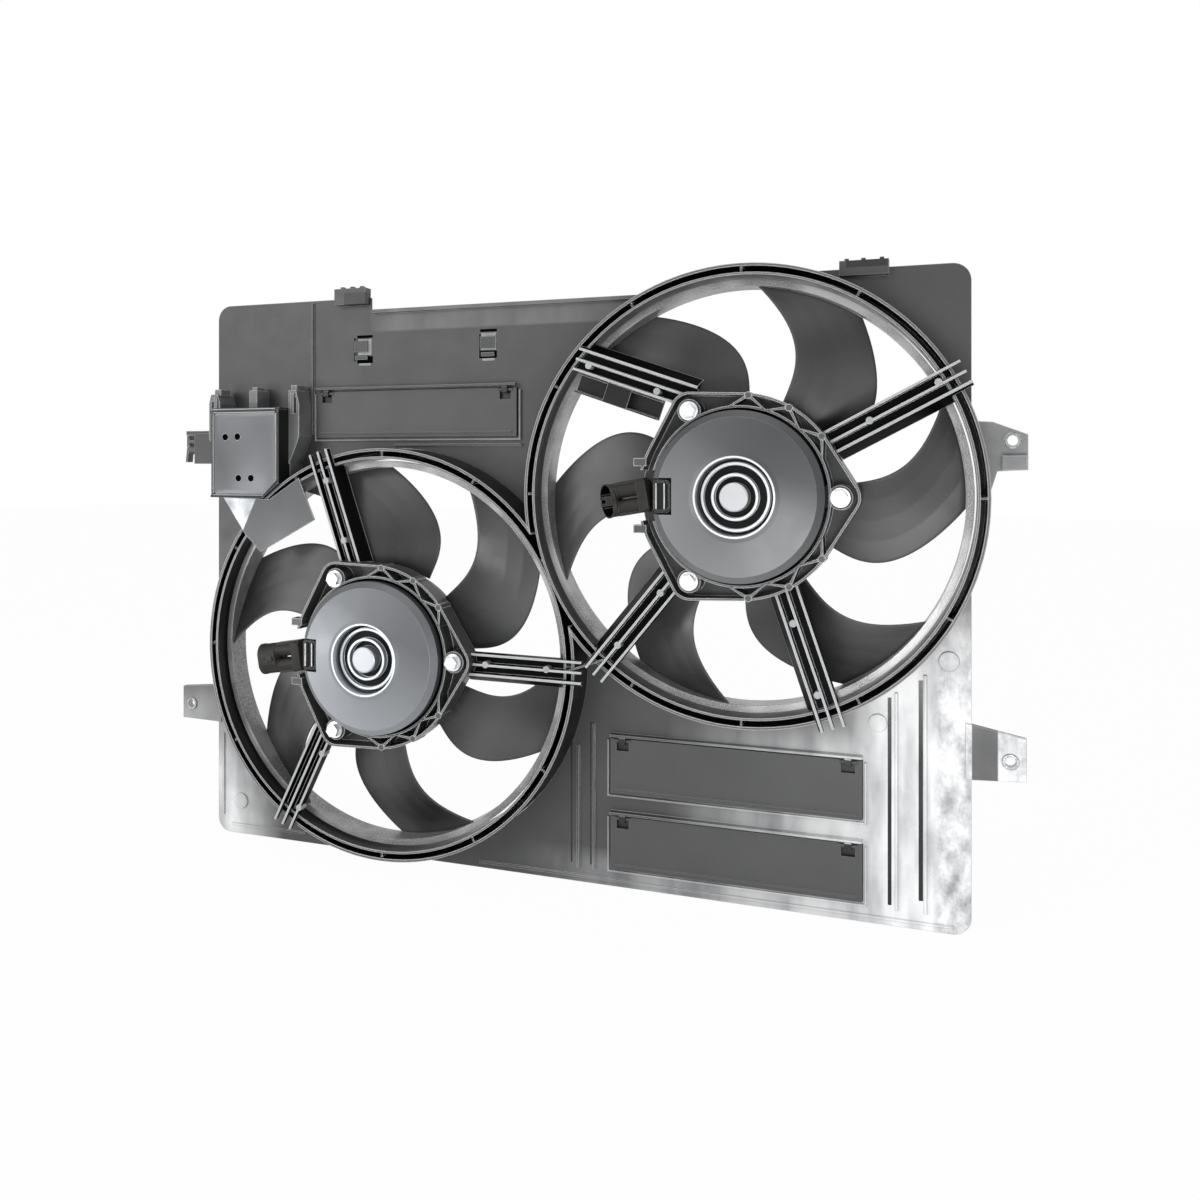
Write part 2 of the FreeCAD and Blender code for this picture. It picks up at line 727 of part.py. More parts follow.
SPOKES = {
    "left": (
        ("top", "60", "109", "109"),
        ("side", "60", "-1.5", "-0.6"),
        ("low", "64", "228", "244"),
    ),
    "right": (
        ("high", "60", "32", "28"),
        ("foot", "60", "230.8", "230.8"),
        ("low", "60", "298.7", "288.7"),
        ("clip", "80", "115", "160.8"),
    ),
}
for side in ("left", "right"):
    body = new_body(side + "_spokes", *PLACES[side])
    for name, radius, angle, direction in SPOKES[side]:
        sketch = radial_sketch(body, name, radius, angle, direction)
        rib_in = "spoke_half - spoke_rib / 2"
        rib_out = "spoke_half + spoke_rib / 2"
        low = "-(spoke_floor + spoke_floor_thick)"
        corners(sketch, [
            ("-spoke_floor", rib_out),
            ("-spoke_top", rib_out),
            ("-spoke_top", rib_in),
            (low, rib_in),
            (low, "spoke_rib / 2"),
            ("-spoke_top", "spoke_rib / 2"),
            ("-spoke_top", "-spoke_rib / 2"),
            (low, "-spoke_rib / 2"),
            (low, "-(%s)" % rib_in),
            ("-spoke_top", "-(%s)" % rib_in),
            ("-spoke_top", "-(%s)" % rib_out),
            ("-spoke_low", "-(%s + spoke_lean)" % rib_out),
            ("-spoke_low", "-(%s + spoke_lean)" % rib_in),
            ("-spoke_floor", "-(%s)" % rib_out),
        ])
        pad(body, sketch, "spoke_reach - %s" % radius)
    near = flat_sketch(body, "carrier_clear")
    circle(near, "carrier_rim + seam_gap")
    pocket(body, near, "spoke_top + 5")
    disc, features = lobe(body, "lobe_clear", "seam_gap", "0", "spoke_top + 5", True)
    around(body, disc, features, "3")
    far = flat_sketch(body, "ring_clear")
    circle(far, "ring_bore - seam_gap")
    circle(far, "ring_outer + 60")
    pocket(body, far, "ring_depth + seam_gap")
    past = flat_sketch(body, "past_ring")
    circle(past, "spoke_reach")
    circle(past, "spoke_reach + 60")
    pocket(body, past, "spoke_top + 5")

# Fans: hub, swept blades and outer band


def blade_corners():
    """Corners of a blade section: five stations along the chord, both faces."""
    stations = (-1.0, -0.5, 0.0, 0.5, 1.0)
    near_face = []
    far_face = []
    for station in stations:
        bulge = 1.0 - station * station
        middle = "blade_mid + blade_rise * %s - blade_camber * %s" % (station, bulge)
        half = "(blade_edge_thick + (blade_half_thick - blade_edge_thick) * %s)" % bulge
        near_face.append((station, "-(%s + %s)" % (middle, half)))
        far_face.append((station, "-(%s - %s)" % (middle, half)))
    return near_face + far_face[::-1]


for side, turn in (("left", "fan_turn_left"), ("right", "fan_turn_right")):
    place = PLACES[side]
    lathe(side + "_fan_hub", place, [
        ("shaft_radius + running_fit", "hub_start"),
        ("hub_outer - hub_round", "hub_start"),
        ("hub_outer", "hub_start + hub_round"),
        ("hub_outer", "hub_end"),
        ("hub_outer - hub_wall", "hub_end"),
        ("hub_outer - hub_wall", "hub_start + hub_round + hub_disc / 2"),
        ("hub_outer - hub_round - hub_wall / 2", "hub_start + hub_disc"),
        ("hub_boss", "hub_start + hub_disc"),
        ("hub_boss", "hub_boss_end"),
        ("shaft_radius + running_fit", "hub_boss_end"),
    ], turn)
    body = new_body(side + "_fan_blades", place[0], place[1], turn)
    sections = []
    for section, edge_radius, middle_angle, half_angle in BLADE_SECTIONS:
        radius = "blade_radius_" + section
        half = "blade_half_" + section
        angle = "blade_angle_" + section
        sketch = radial_sketch(body, section, "%s * cos(%s)" % (radius, half), angle, angle)
        corners(sketch, [
            (depth, "0" if station == 0.0 else "%s * sin(%s) * %s" % (radius, half, station))
            for station, depth in blade_corners()
        ])
        sections.append(sketch)
    loft = body.newObject("PartDesign::AdditiveLoft", side + "_blade_loft")
    loft.Profile = sections[0]
    loft.Sections = sections[1:]
    loft.Ruled = False
    hub_clear = flat_sketch(body, "hub_clear")
    circle(hub_clear, "hub_outer + seam_gap")
    around(body, hub_clear, [loft], "blade_count")
    pocket(body, hub_clear, "hub_end + 10")
    band_clear = flat_sketch(body, "band_clear")
    circle(band_clear, "band_bore - seam_gap")
    circle(band_clear, "band_bore + 60")
    pocket(body, band_clear, "hub_end + 10")
    lathe(side + "_fan_band", place, [
        ("band_bore", "band_start"),
        ("band_bore + band_wall", "band_start"),
        ("band_bore + band_wall", "band_end - band_flange_thick"),
        ("band_flange", "band_end - band_flange_thick"),
        ("band_flange", "band_end"),
        ("band_bore", "band_end"),
    ], turn)

# Motors

for side, turn, plug_turn, rise in (
    ("left", "fan_turn_left", "plug_turn_left", "plug_raise_left"),
    ("right", "fan_turn_right", "plug_turn_right", "plug_raise_right"),
):
    place = PLACES[side]
    bearing_bore = "shaft_radius + running_fit"
    # the shaft with its two flats is plain here, a round bar
    lathe(side + "_shaft", place, [
        ("0", "shaft_start"),
        ("shaft_radius - 0.5", "shaft_start"),
        ("shaft_radius", "shaft_start + 0.5"),
        ("shaft_radius", "shaft_end"),
        ("0", "shaft_end"),
    ], turn)
    nut = new_body(side + "_fan_nut", place[0], place[1], turn)
    sketch = flat_sketch(nut, "hexagon", "nut_start")
    corners(sketch, [
        ("nut_radius * cos(%d)" % angle, "nut_radius * sin(%d)" % angle) for angle in range(15, 375, 60)
    ])
    circle(sketch, bearing_bore)
    pad(nut, sketch, "hub_start - nut_start")

    can = lathe(side + "_motor_can", place, [
        ("bearing_outer + seam_gap", "can_start"),
        ("can_radius - 4", "can_start"),
        ("can_radius", "can_start + 4"),
        ("can_radius", "can_end"),
        ("can_radius - can_wall", "can_end"),
        ("can_radius - can_wall", "can_start + can_wall + 3"),
        ("bearing_outer + 3", "can_start + can_wall"),
        ("bearing_outer + 3", "can_start + bearing_width"),
        ("bearing_outer + seam_gap", "can_start + bearing_width"),
    ])
    ear = flat_sketch(can, "ear", "ear_start")
    corners(ear, [
        ("can_radius - can_wall / 2", "-ear_half_width"),
        ("bolt_circle", "-ear_half_width"),
        ("ear_reach", "-ear_half_width / 2"),
        ("ear_reach", "ear_half_width / 2"),
        ("bolt_circle", "ear_half_width"),
        ("can_radius - can_wall / 2", "ear_half_width"),
    ])
    circle(ear, "bolt_hole", "bolt_circle", "0")
    ear_pad = pad(can, ear, "ear_thick")
    around(can, ear, [ear_pad], "3")

    lathe(side + "_bearing_rear", place, [
        (bearing_bore, "can_start"),
        ("bearing_outer", "can_start"),
        ("bearing_outer", "can_start + bearing_width"),
        (bearing_bore, "can_start + bearing_width"),
    ])
    lathe(side + "_bearing_front", place, [
        (bearing_bore, "shaft_end - bearing_width"),
        ("bearing_outer", "shaft_end - bearing_width"),
        ("bearing_outer", "shaft_end"),
        (bearing_bore, "shaft_end"),
    ])
    magnets = new_body(side + "_motor_magnets", *place)
    sketch = flat_sketch(magnets, "ring", "magnet_start")
    circle(sketch, "can_radius - can_wall - seam_gap")
    circle(sketch, "magnet_bore")
    pad(magnets, sketch, "magnet_end - magnet_start")
    for number, angle in enumerate((45, 135)):
        slot = flat_sketch(magnets, "slot_%d" % number, "magnet_start", angle)
        box_outline(slot, "-can_radius", "can_radius", "-5", "5")
        pocket(magnets, slot, "magnet_end - magnet_start")
    core = new_body(side + "_armature_core", place[0], place[1], turn)
    sketch = flat_sketch(core, "disc", "core_start")
    circle(sketch, "core_radius")
    circle(sketch, "core_bore")
    pad(core, sketch, "core_end - core_start")
    slot = flat_sketch(core, "slot", "core_start")
    box_outline(slot, "winding_outer + 1", "core_radius + 2", "-1.2", "1.2")
    slot_cut = pocket(core, slot, "core_end - core_start")
    around(core, slot, [slot_cut], "12")
    # the end turns are one ring on the commutator's side
    lathe(side + "_windings", place, [
        ("winding_inner", "core_end"),
        ("winding_outer", "core_end"),
        ("winding_outer - winding_thick / 2", "core_end + winding_thick"),
        ("winding_inner", "core_end + winding_thick"),
    ], turn)
    lathe(side + "_commutator", place, [
        ("core_bore", "core_end"),
        ("commutator_radius", "core_end"),
        ("commutator_radius", "commutator_end"),
        ("core_bore", "commutator_end"),
    ], turn)
    lathe(side + "_brush_plate", place, [
        ("brush_plate_bore", "brush_plate_start"),
        ("brush_plate_outer", "brush_plate_start"),
        ("brush_plate_outer", "brush_plate_start + brush_plate_thick"),
        ("brush_plate_bore", "brush_plate_start + brush_plate_thick"),
    ])
    brushes = new_body(side + "_brushes", *place)
    sketch = flat_sketch(brushes, "pair", "brush_plate_start - brush_width")
    for sign in ("", "-"):
        near_end = "%s(commutator_radius + part_gap)" % sign
        far_end = "%s(commutator_radius + part_gap + brush_length)" % sign
        corners(sketch, [
            (near_end, "-brush_width / 2"), (far_end, "-brush_width / 2"),
            (far_end, "brush_width / 2"), (near_end, "brush_width / 2"),
        ])
    pad(brushes, sketch, "brush_width")

    cap = lathe(side + "_motor_cap", place, [
        ("0", "shaft_end + 0.4"),
        ("bearing_outer + seam_gap", "shaft_end + 0.4"),
        ("bearing_outer + seam_gap", "cap_start"),
        ("bearing_outer + 2.4", "cap_start"),
        ("bearing_outer + 2.4", "well_floor - cap_wall"),
        ("well_outer", "well_floor - cap_wall"),
        ("well_outer + cap_wall / 2", "cap_top - cap_wall * 1.6"),
        ("cap_radius - cap_wall", "cap_shoulder - cap_wall / 2"),
        ("cap_radius - cap_wall", "cap_start"),
        ("cap_radius", "cap_start"),
        ("cap_radius", "cap_shoulder"),
        ("cap_radius - 5", "cap_edge"),
        ("well_outer + 3", "cap_top - 1"),
        ("well_outer", "cap_top"),
        ("well_outer - 1.6", "cap_top"),
        ("well_outer - 2.4", "well_floor"),
        ("well_ring + 1", "well_floor"),
        ("well_ring + 1", "well_ring_low"),
        ("well_ring - 1", "well_ring_low"),
        ("well_ring - 1", "well_floor"),
        ("well_step + 1", "well_floor"),
        ("well_step + 1", "well_step_low"),
        ("well_step - 1", "well_step_low"),
        ("well_step - 1", "well_floor"),
        ("button_radius", "well_floor"),
        ("button_radius", "cap_top - 1"),
        ("button_radius - 1", "cap_top - 0.4"),
        ("0", "cap_top - 0.4"),
    ])
    cut_block(cap, "lead_notch", "-(cap_radius + 2)", "-46", "-13.5", "13.5",
              "cap_start", "cap_top - cap_start")
    bolts = new_body(side + "_motor_bolts", *place)
    parts = []
    shank = flat_sketch(bolts, "shank", "ear_start - 3")
    circle(shank, "bolt_radius", "bolt_circle", "0")
    parts.append(pad(bolts, shank, "carrier_end - seat_drop - ear_start + 3"))
    flange = flat_sketch(bolts, "flange", "carrier_end - seat_drop")
    circle(flange, "bolt_flange", "bolt_circle", "0")
    parts.append(pad(bolts, flange, "bolt_flange_thick"))
    head = flat_sketch(bolts, "head", "carrier_end - seat_drop + bolt_flange_thick")
    corners(head, [
        ("bolt_circle + bolt_head * cos(%d)" % angle, "bolt_head * sin(%d)" % angle)
        for angle in range(10, 370, 60)
    ])
    parts.append(pad(bolts, head, "bolt_head_height"))
    around(bolts, shank, parts, "3")

    # the plug's socket leans a little and opens away from the motor
    plug = new_body(side + "_connector", place[0], place[1], plug_turn)
    inner = "-plug_inner_reach"
    outer = "-(plug_inner_reach + plug_length)"
    sketch = flat_sketch(plug, "shell", "plug_start")
    corners(sketch, [
        (inner, rise + " - plug_half_height + 2"), (inner, rise + " + plug_half_height - 2"),
        ("%s - 14" % inner, rise + " + plug_half_height - 2"),
        ("%s - 16" % inner, rise + " + plug_half_height"),
        (outer, rise + " + plug_half_height"),
        (outer, rise + " - plug_half_height"),
        ("%s - 16" % inner, rise + " - plug_half_height"),
        ("%s - 14" % inner, rise + " - plug_half_height + 2"),
    ])
    pad(plug, sketch, "plug_end - plug_start")
    sketch = flat_sketch(plug, "socket", "plug_start + plug_wall")
    box_outline(sketch, "%s - 5" % outer, "%s + plug_depth" % outer,
                rise + " - plug_half_height + plug_wall", rise + " + plug_half_height - plug_wall")
    pocket(plug, sketch, "plug_end - plug_start - plug_wall * 2")
    # a foot stands on the carrier's floor, just outside the motor's can
    add_block(plug, "foot", "%s - 9" % inner, "%s - 1.5" % inner,
              rise + " - plug_foot / 2", rise + " + plug_foot / 2",
              "carrier_start + carrier_floor + part_gap", "plug_start - carrier_start - carrier_floor")
    sketch = flat_sketch(plug, "latch", "plug_end")
    box_outline(sketch, "%s - 38" % inner, "%s - 10" % inner, rise + " - 3", rise + " + 3")
    pad(plug, sketch, "2.4")
    terminals = new_body(side + "_terminals", place[0], place[1], plug_turn)
    sketch = flat_sketch(terminals, "blades", "(plug_start + plug_end) / 2 - terminal_width / 2")
    for middle in (-5, 5):
        box_outline(sketch, "%s + plug_depth - terminal_length" % outer, "%s + plug_depth" % outer,
                    "%s + %d - terminal_thick / 2" % (rise, middle),
                    "%s + %d + terminal_thick / 2" % (rise, middle))
    pad(terminals, sketch, "terminal_width")

# Ram-air flaps on their pins

for label, flap in (("flap_upper", "flap_u"), ("flap_lower_inner", "flap_a"), ("flap_lower_outer", "flap_b")):
    left, right = flap + "_left", flap + "_right"
    bottom, top = flap + "_bottom", flap + "_top"
    body = new_body(label)
    add_block(body, "plate", left, right, bottom, top + " + pin_above", "panel_thick + flap_gap", "flap_thick")
    ends = (
        ("near", left + " + notch_inset", left + " + notch_inset + notch_width"),
        ("far", right + " - notch_inset - notch_width", right + " - notch_inset"),
    )
    for name, first, last in ends:
        cut_block(body, "notch_" + name, first, last, top + " - notch_height", top + " + pin_above + 1",
                  "panel_thick", "8")
    for name, first, last in ends:
        sketch = body.newObject("Sketcher::SketchObject", "%s_pin_%s" % (label, name))
        sketch.AttachmentSupport = [(plane(body, "YZ_Plane"), "")]
        sketch.MapMode = "FlatFace"
        sketch.setExpression("AttachmentOffset.Base.z", cells(first + " - 2"))
        circle(sketch, "pin_radius", "-(panel_thick + flap_gap + pin_radius)", top)
        pad(body, sketch, "notch_width + 4")
    add_block(body, "stiffener", left + " + 4", right + " - 4", bottom + " + 3", bottom + " + 4.6",
              "panel_thick + flap_gap + flap_thick", "1.2")

# Control module in its holder, and the folded heat shield below it

holder = new_body("module_holder")
wall_l, wall_r = "module_left - part_gap - holder_wall", "module_right + part_gap + holder_wall"
wall_b, wall_t = "module_bottom - part_gap - holder_wall", "module_top + part_gap + holder_wall"
add_block(holder, "frame", wall_l, wall_r, wall_b, wall_t, "panel_thick", "holder_end - panel_thick")
cut_block(holder, "room", "module_left - part_gap", "module_right + part_gap", "module_bottom - part_gap",
          "module_top + part_gap", "module_start", "holder_end")
cut_block(holder, "back_window", "module_left + 10", "module_right - 10", "module_bottom + 10",
          "module_top - 10", "0", "holder_end")
# two tapered ears carry the holder, with a slot behind each catch
ear_edge = "seam_x - 1 - part_gap"
for name, length, outline in (
    ("left", "22", [
        (wall_l, "104"), (wall_l, "150"), ("module_left - 5", "158"), ("module_left - 12", "158"),
        ("module_left - 14", "150"), ("module_left - 14", "118"),
    ]),
    ("right", "20", [
        (wall_r, "96"), (ear_edge + " - 3", "112"), (ear_edge, "120"), (ear_edge, "148"),
        (ear_edge + " - 3", "160"), (wall_r, "160"),
    ]),
):
    sketch = flat_sketch(holder, "ear_" + name, "panel_thick")
    corners(sketch, outline)
    pad(holder, sketch, length)
for name, first, last, top in (
    ("left", "module_left - 11", "module_left - 6", "158"),
    ("right", wall_r + " + 2.5", wall_r + " + 7.5", "160"),
):
    cut_block(holder, "ear_slot_" + name, first, last, top + " - 20", top + " - 6", "12", "20")
add_block(holder, "post", "-276", "-268", wall_t, "161", "panel_thick", "18")
cut_round(holder, "ring_clear", LEFT_X, LEFT_Z, "ring_outer + seam_gap", "0", "60")

module = new_body("control_module")
sketch = flat_sketch(module, "case", "module_start")
corners(sketch, [
    ("module_left", "module_bottom"),
    ("module_right - module_chamfer", "module_bottom"),
    ("module_right", "module_bottom + module_chamfer"),
    ("module_right", "module_top"),
    ("module_left", "module_top"),
])
pad(module, sketch, "module_end - module_start")
cut_round(module, "ring_clear", LEFT_X, LEFT_Z, "ring_outer + seam_gap", "0", "60")
for number, (across, along) in enumerate((("-288.7", "119.4"), ("-276", "119.7"), ("-274.9", "83.5"),
                                          ("-262", "83.6"))):
    cut_round(module, "blind_hole_%d" % number, across, along, "2.7", "module_end - 4", "4")

shield = new_body("heat_shield")
sketch = flat_sketch(shield, "sheet", "ring_depth + seam_gap")
corners(sketch, [
    ("-292", "67"), ("-244", "65.5"), ("-214.5", "84"), ("-198.6", "48.6"), ("-252.8", "20"), ("-268.5", "34.4"),
])
pad(shield, sketch, "1.2")
add_block(shield, "fold", "-290", "-255", "64.9", "66.3", "holder_end + part_gap",
          "ring_depth + seam_gap + 1.2 - holder_end - part_gap")

# Harness clip along the right fan's fourth spoke

CLIP_SPOKE = SPOKES["right"][3][1:]

clip = new_body("harness_clip", RIGHT_X, RIGHT_Z)
clip_near = "spoke_half + spoke_rib / 2 + part_gap"
clip_far = "spoke_half + spoke_rib / 2 + part_gap + clip_width"
clip_top = "-(spoke_floor + clip_height)"
sketch = radial_sketch(clip, "channel", *CLIP_SPOKE)
corners(sketch, [
    ("-spoke_floor", clip_near),
    ("-spoke_floor", clip_far),
    (clip_top, clip_far),
    (clip_top, clip_far + " - clip_wall"),
    ("-(spoke_floor + clip_wall)", clip_far + " - clip_wall"),
    ("-(spoke_floor + clip_wall)", clip_near + " + clip_wall"),
    (clip_top, clip_near + " + clip_wall"),
    (clip_top, clip_near),
])
channel = pad(clip, sketch, "clip_start + clip_length")
sketch = radial_sketch(clip, "lock", *CLIP_SPOKE)
corners(sketch, [
    (clip_top, clip_near),
    (clip_top, clip_far),
    (clip_top + " - clip_wall", clip_far),
    (clip_top + " - clip_wall", clip_near),
])
pad(clip, sketch, "clip_start + clip_length / 2 + 10")
# both runs start at the spoke's own root, so their first stretches are cut away
start = radial_sketch(clip, "start", *CLIP_SPOKE)
box_outline(start, "-(spoke_floor + clip_height + 10)", "-spoke_low", clip_near + " - 1", clip_far + " + 1")
pocket_start = clip.newObject("PartDesign::Pocket", "harness_clip_start_cut")
pocket_start.Profile = start
pocket_start.Reversed = True
pocket_start.setExpression("Length", cells("clip_start"))
start = radial_sketch(clip, "lock_start", *CLIP_SPOKE)
box_outline(start, "-(spoke_floor + clip_height + 10)", clip_top, clip_near + " - 1", clip_far + " + 1")
pocket_start = clip.newObject("PartDesign::Pocket", "harness_clip_lock_cut")
pocket_start.Profile = start
pocket_start.Reversed = True
pocket_start.setExpression("Length", cells("clip_start + clip_length / 2 - 10"))

# Metal sleeves in the mounting lugs

sleeves = new_body("lug_sleeves")
for place, (across, along) in LUG_HOLES.items():
    sketch = flat_sketch(sleeves, "tube_" + place)
    circle(sketch, "sleeve_bore + sleeve_wall", across, along)
    circle(sketch, "sleeve_bore", across, along)
    pad(sleeves, sketch, "lug_thick + 1")

# Right upper lug stands on the ring housing's side, a piece of the same moulding
lug = new_body("lug_right_upper")
sketch = flat_sketch(lug, "outline")
corners(sketch, [
    (EDGE_X + " - 20", "lug_high_z + 15.2"),
    (EDGE_X + " + 14", "lug_high_z + 13.2"),
    (EDGE_X + " + 37", "lug_high_z + 4.2"),
    (EDGE_X + " + 37", "lug_high_z - 20.8"),
    (EDGE_X + " + 17", "lug_high_z - 21.8"),
    (EDGE_X + " + 13", "lug_high_z - 34.8"),
    (EDGE_X + " - 20", "lug_high_z - 34.8"),
])
pad(lug, sketch, "lug_thick")
cut_round(lug, "ring_clear", RIGHT_X, RIGHT_Z, "ring_outer + seam_gap", "0", "40")
cut_round(lug, "lug_hole", *LUG_HOLES["high"], "lug_hole", "0", "lug_thick")
add_block(lug, "tab", EDGE_X + " + 20", EDGE_X + " + 36", "lug_high_z - 20.8", "lug_high_z - 10.8",
          "lug_thick", "6")

# Left upper hook: a round bar that a slot of the radiator frame takes
hook = new_body("lug_left_upper")
sketch = hook.newObject("Sketcher::SketchObject", "lug_left_upper_bar")
sketch.AttachmentSupport = [(plane(hook, "YZ_Plane"), "")]
sketch.MapMode = "FlatFace"
sketch.setExpression("AttachmentOffset.Base.z", cells("hook_root - hook_length"))
circle(sketch, "hook_radius", "-(hook_radius + 0.5)", "109")
pad(hook, sketch, "hook_length")

doc.recompute()
os.makedirs("parts", exist_ok=True)
bad = []
for item in doc.Objects:
    if "Invalid" in item.State or "Error" in item.State:
        bad.append("%s %s" % (item.Name, item.State))
for node in NODES:
    if node.Shape.isNull() or not node.Shape.isValid() or not node.Shape.Solids:
        bad.append(node.Label + " has no sound shape")
if bad:
    raise RuntimeError("\n".join(bad))
for node in NODES:
    print("%-24s solids %d volume %.0f" % (node.Label, len(node.Shape.Solids), node.Shape.Volume))
    node.Shape.exportStep(os.path.join("parts", node.Label + ".step"))
print(len(NODES), "nodes")
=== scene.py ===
import math

import bmesh
import bpy
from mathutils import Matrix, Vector


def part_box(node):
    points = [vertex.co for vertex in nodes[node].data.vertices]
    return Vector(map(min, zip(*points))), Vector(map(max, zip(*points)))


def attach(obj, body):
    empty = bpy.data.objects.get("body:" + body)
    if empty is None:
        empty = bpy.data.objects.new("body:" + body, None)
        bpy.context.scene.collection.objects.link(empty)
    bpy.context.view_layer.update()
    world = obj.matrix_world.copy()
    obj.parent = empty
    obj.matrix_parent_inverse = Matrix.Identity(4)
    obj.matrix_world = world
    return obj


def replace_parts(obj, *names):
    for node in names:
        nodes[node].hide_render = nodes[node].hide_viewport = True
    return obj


# Twin radiator fan assembly, seen from the engine side. Lengths are in metres.

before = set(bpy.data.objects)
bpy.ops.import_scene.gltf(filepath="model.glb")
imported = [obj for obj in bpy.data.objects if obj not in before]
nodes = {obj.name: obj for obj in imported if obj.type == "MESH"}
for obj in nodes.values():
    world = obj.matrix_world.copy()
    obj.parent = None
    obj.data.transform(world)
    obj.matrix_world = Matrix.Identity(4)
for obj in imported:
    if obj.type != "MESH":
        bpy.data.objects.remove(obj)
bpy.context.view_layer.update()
scene = bpy.context.scene

# Middles of the two fans, and the height of the panel's lower edge

FAN = {"left": (-0.1363, -0.0620), "right": (0.1639, 0.0726)}
FLOOR_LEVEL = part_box("panel_lower")[0][2]

# Building blocks of the materials

# cosines between the rounded and the flat normal at which an edge gets its full painted highlight, and none
# at all
EDGE_COSINES = (0.85, 0.995)
# places along Y between which the engine side of the panel ends
ENGINE_SIDE = (-0.0020, -0.0010)
# how far the border of a dark rectangle is blurred
SHADE_BLUR = 0.0003


def srgb(value):
    """A screen value from 0 to 255 as a linear one."""
    part = value / 255
    if part <= 0.04045:
        return part / 12.92
    return ((part + 0.055) / 1.055) ** 2.4


def grey(value, blue=0.0):
    """A grey given by its screen value, turned a little towards blue."""
    level = srgb(value)
    return (level, level * (1 + blue * 0.4), level * (1 + blue), 1)


class Shader:
    """A node material that is built up step by step."""

    def __init__(self, name):
        self.material = bpy.data.materials.new(name)
        self.material.use_nodes = True
        self.tree = self.material.node_tree
        self.surface = self.tree.nodes["Principled BSDF"]
        place = self.tree.nodes.new("ShaderNodeTexCoord")
        self.place = place.outputs["Object"]

    def node(self, kind, **settings):
        made = self.tree.nodes.new(kind)
        for key, value in settings.items():
            setattr(made, key, value)
        return made

    def link(self, source, target):
        self.tree.links.new(source, target)

    def noise(self, size, detail=3.0, roughness=0.55, stretch=None):
        """Noise whose features are about that many metres across."""
        where = self.place
        if stretch is not None:
            mapping = self.node("ShaderNodeMapping")
            mapping.inputs["Scale"].default_value = stretch
            self.link(where, mapping.inputs["Vector"])
            where = mapping.outputs["Vector"]
        made = self.node("ShaderNodeTexNoise")
        made.inputs["Scale"].default_value = 1 / size
        made.inputs["Detail"].default_value = detail
        made.inputs["Roughness"].default_value = roughness
        self.link(where, made.inputs["Vector"])
        return made.outputs["Fac"]

    def ramp(self, source, stops):
        """A colour ramp given as (place, colour) pairs."""
        made = self.node("ShaderNodeValToRGB")
        band = made.color_ramp
        while len(band.elements) < len(stops):
            band.elements.new(0.5)
        for element, (spot, colour) in zip(band.elements, stops):
            element.position = spot
            element.color = colour
        self.link(source, made.inputs["Fac"])
        return made.outputs["Color"]

    def spread(self, source, over, to=(0.0, 1.0)):
        """A number moved from the range over to the range to, and kept inside it."""
        made = self.node("ShaderNodeMapRange")
        for end, value in zip(("From Min", "From Max", "To Min", "To Max"), over + to):
            made.inputs[end].default_value = value
        self.link(source, made.inputs["Value"])
        return made.outputs["Result"]

    def mix(self, share, first, second):
        """A mix of two colours; each is a socket or a plain colour."""
        made = self.node("ShaderNodeMix", data_type="RGBA")
        for socket, value in ((made.inputs[6], first), (made.inputs[7], second)):
            if isinstance(value, tuple):
                socket.default_value = value
            else:
                self.link(value, socket)
        self.link(share, made.inputs[0])
        return made.outputs[2]

    def maths(self, kind, first, second=0.0):
        """One math operation on two values; each is a socket or a number."""
        made = self.node("ShaderNodeMath", operation=kind)
        for socket, value in zip(made.inputs, (first, second)):
            if isinstance(value, float):
                socket.default_value = value
            else:
                self.link(value, socket)
        return made.outputs[0]

    def times(self, first, second):
        return self.maths("MULTIPLY", first, second)

    def axis(self, letter):
        """The place along X, Y or Z on the part itself."""
        split = self.node("ShaderNodeSeparateXYZ")
        self.link(self.place, split.inputs[0])
        return split.outputs[letter]

    def along(self, way):
        """The place along a way over the panel, given by its parts along X and Z."""
        return self.maths("ADD", self.times(self.axis("X"), way[0]), self.times(self.axis("Z"), way[1]))

    def around(self, centre):
        """The distance from a fan's axis."""
        across = self.maths("SUBTRACT", self.axis("X"), centre[0])
        up = self.maths("SUBTRACT", self.axis("Z"), centre[1])
        return self.maths("SQRT", self.maths("ADD", self.times(across, across), self.times(up, up)))

    def fade_in(self, letter, start, end, level=1.0):
        """0 at the start of a stretch of an axis, and the level at its end and past it."""
        return self.spread(self.axis(letter), (start, end), (0.0, level))

    def fade_out(self, letter, start, end, level=1.0):
        """The level at the start of a stretch of an axis, and 0 at its end and past it."""
        return self.spread(self.axis(letter), (start, end), (level, 0.0))

    def inside(self, left, right, bottom, top):
        """1 within a rectangle of the panel's face."""
        wide = self.times(self.fade_in("X", left - SHADE_BLUR, left),
                          self.fade_out("X", right, right + SHADE_BLUR))
        high = self.times(self.fade_in("Z", bottom - SHADE_BLUR, bottom),
                          self.fade_out("Z", top, top + SHADE_BLUR))
        return self.times(wide, high)

    def front(self):
        """1 on the engine side of the panel and 0 on its back."""
        return self.fade_out("Y", *ENGINE_SIDE)

    def rounded(self, width):
        """The surface's direction, rounded over edges by that width."""
        bevel = self.node("ShaderNodeBevel", samples=4)
        bevel.inputs["Radius"].default_value = width
        return bevel.outputs["Normal"]

    def edges(self, rounded):
        """1 where the rounded direction leaves the flat one, which is along edges."""
        plain = self.node("ShaderNodeNewGeometry")
        dot = self.node("ShaderNodeVectorMath", operation="DOT_PRODUCT")
        self.link(rounded, dot.inputs[0])
        self.link(plain.outputs["True Normal"], dot.inputs[1])
        return self.spread(dot.outputs["Value"], EDGE_COSINES, (1.0, 0.0))

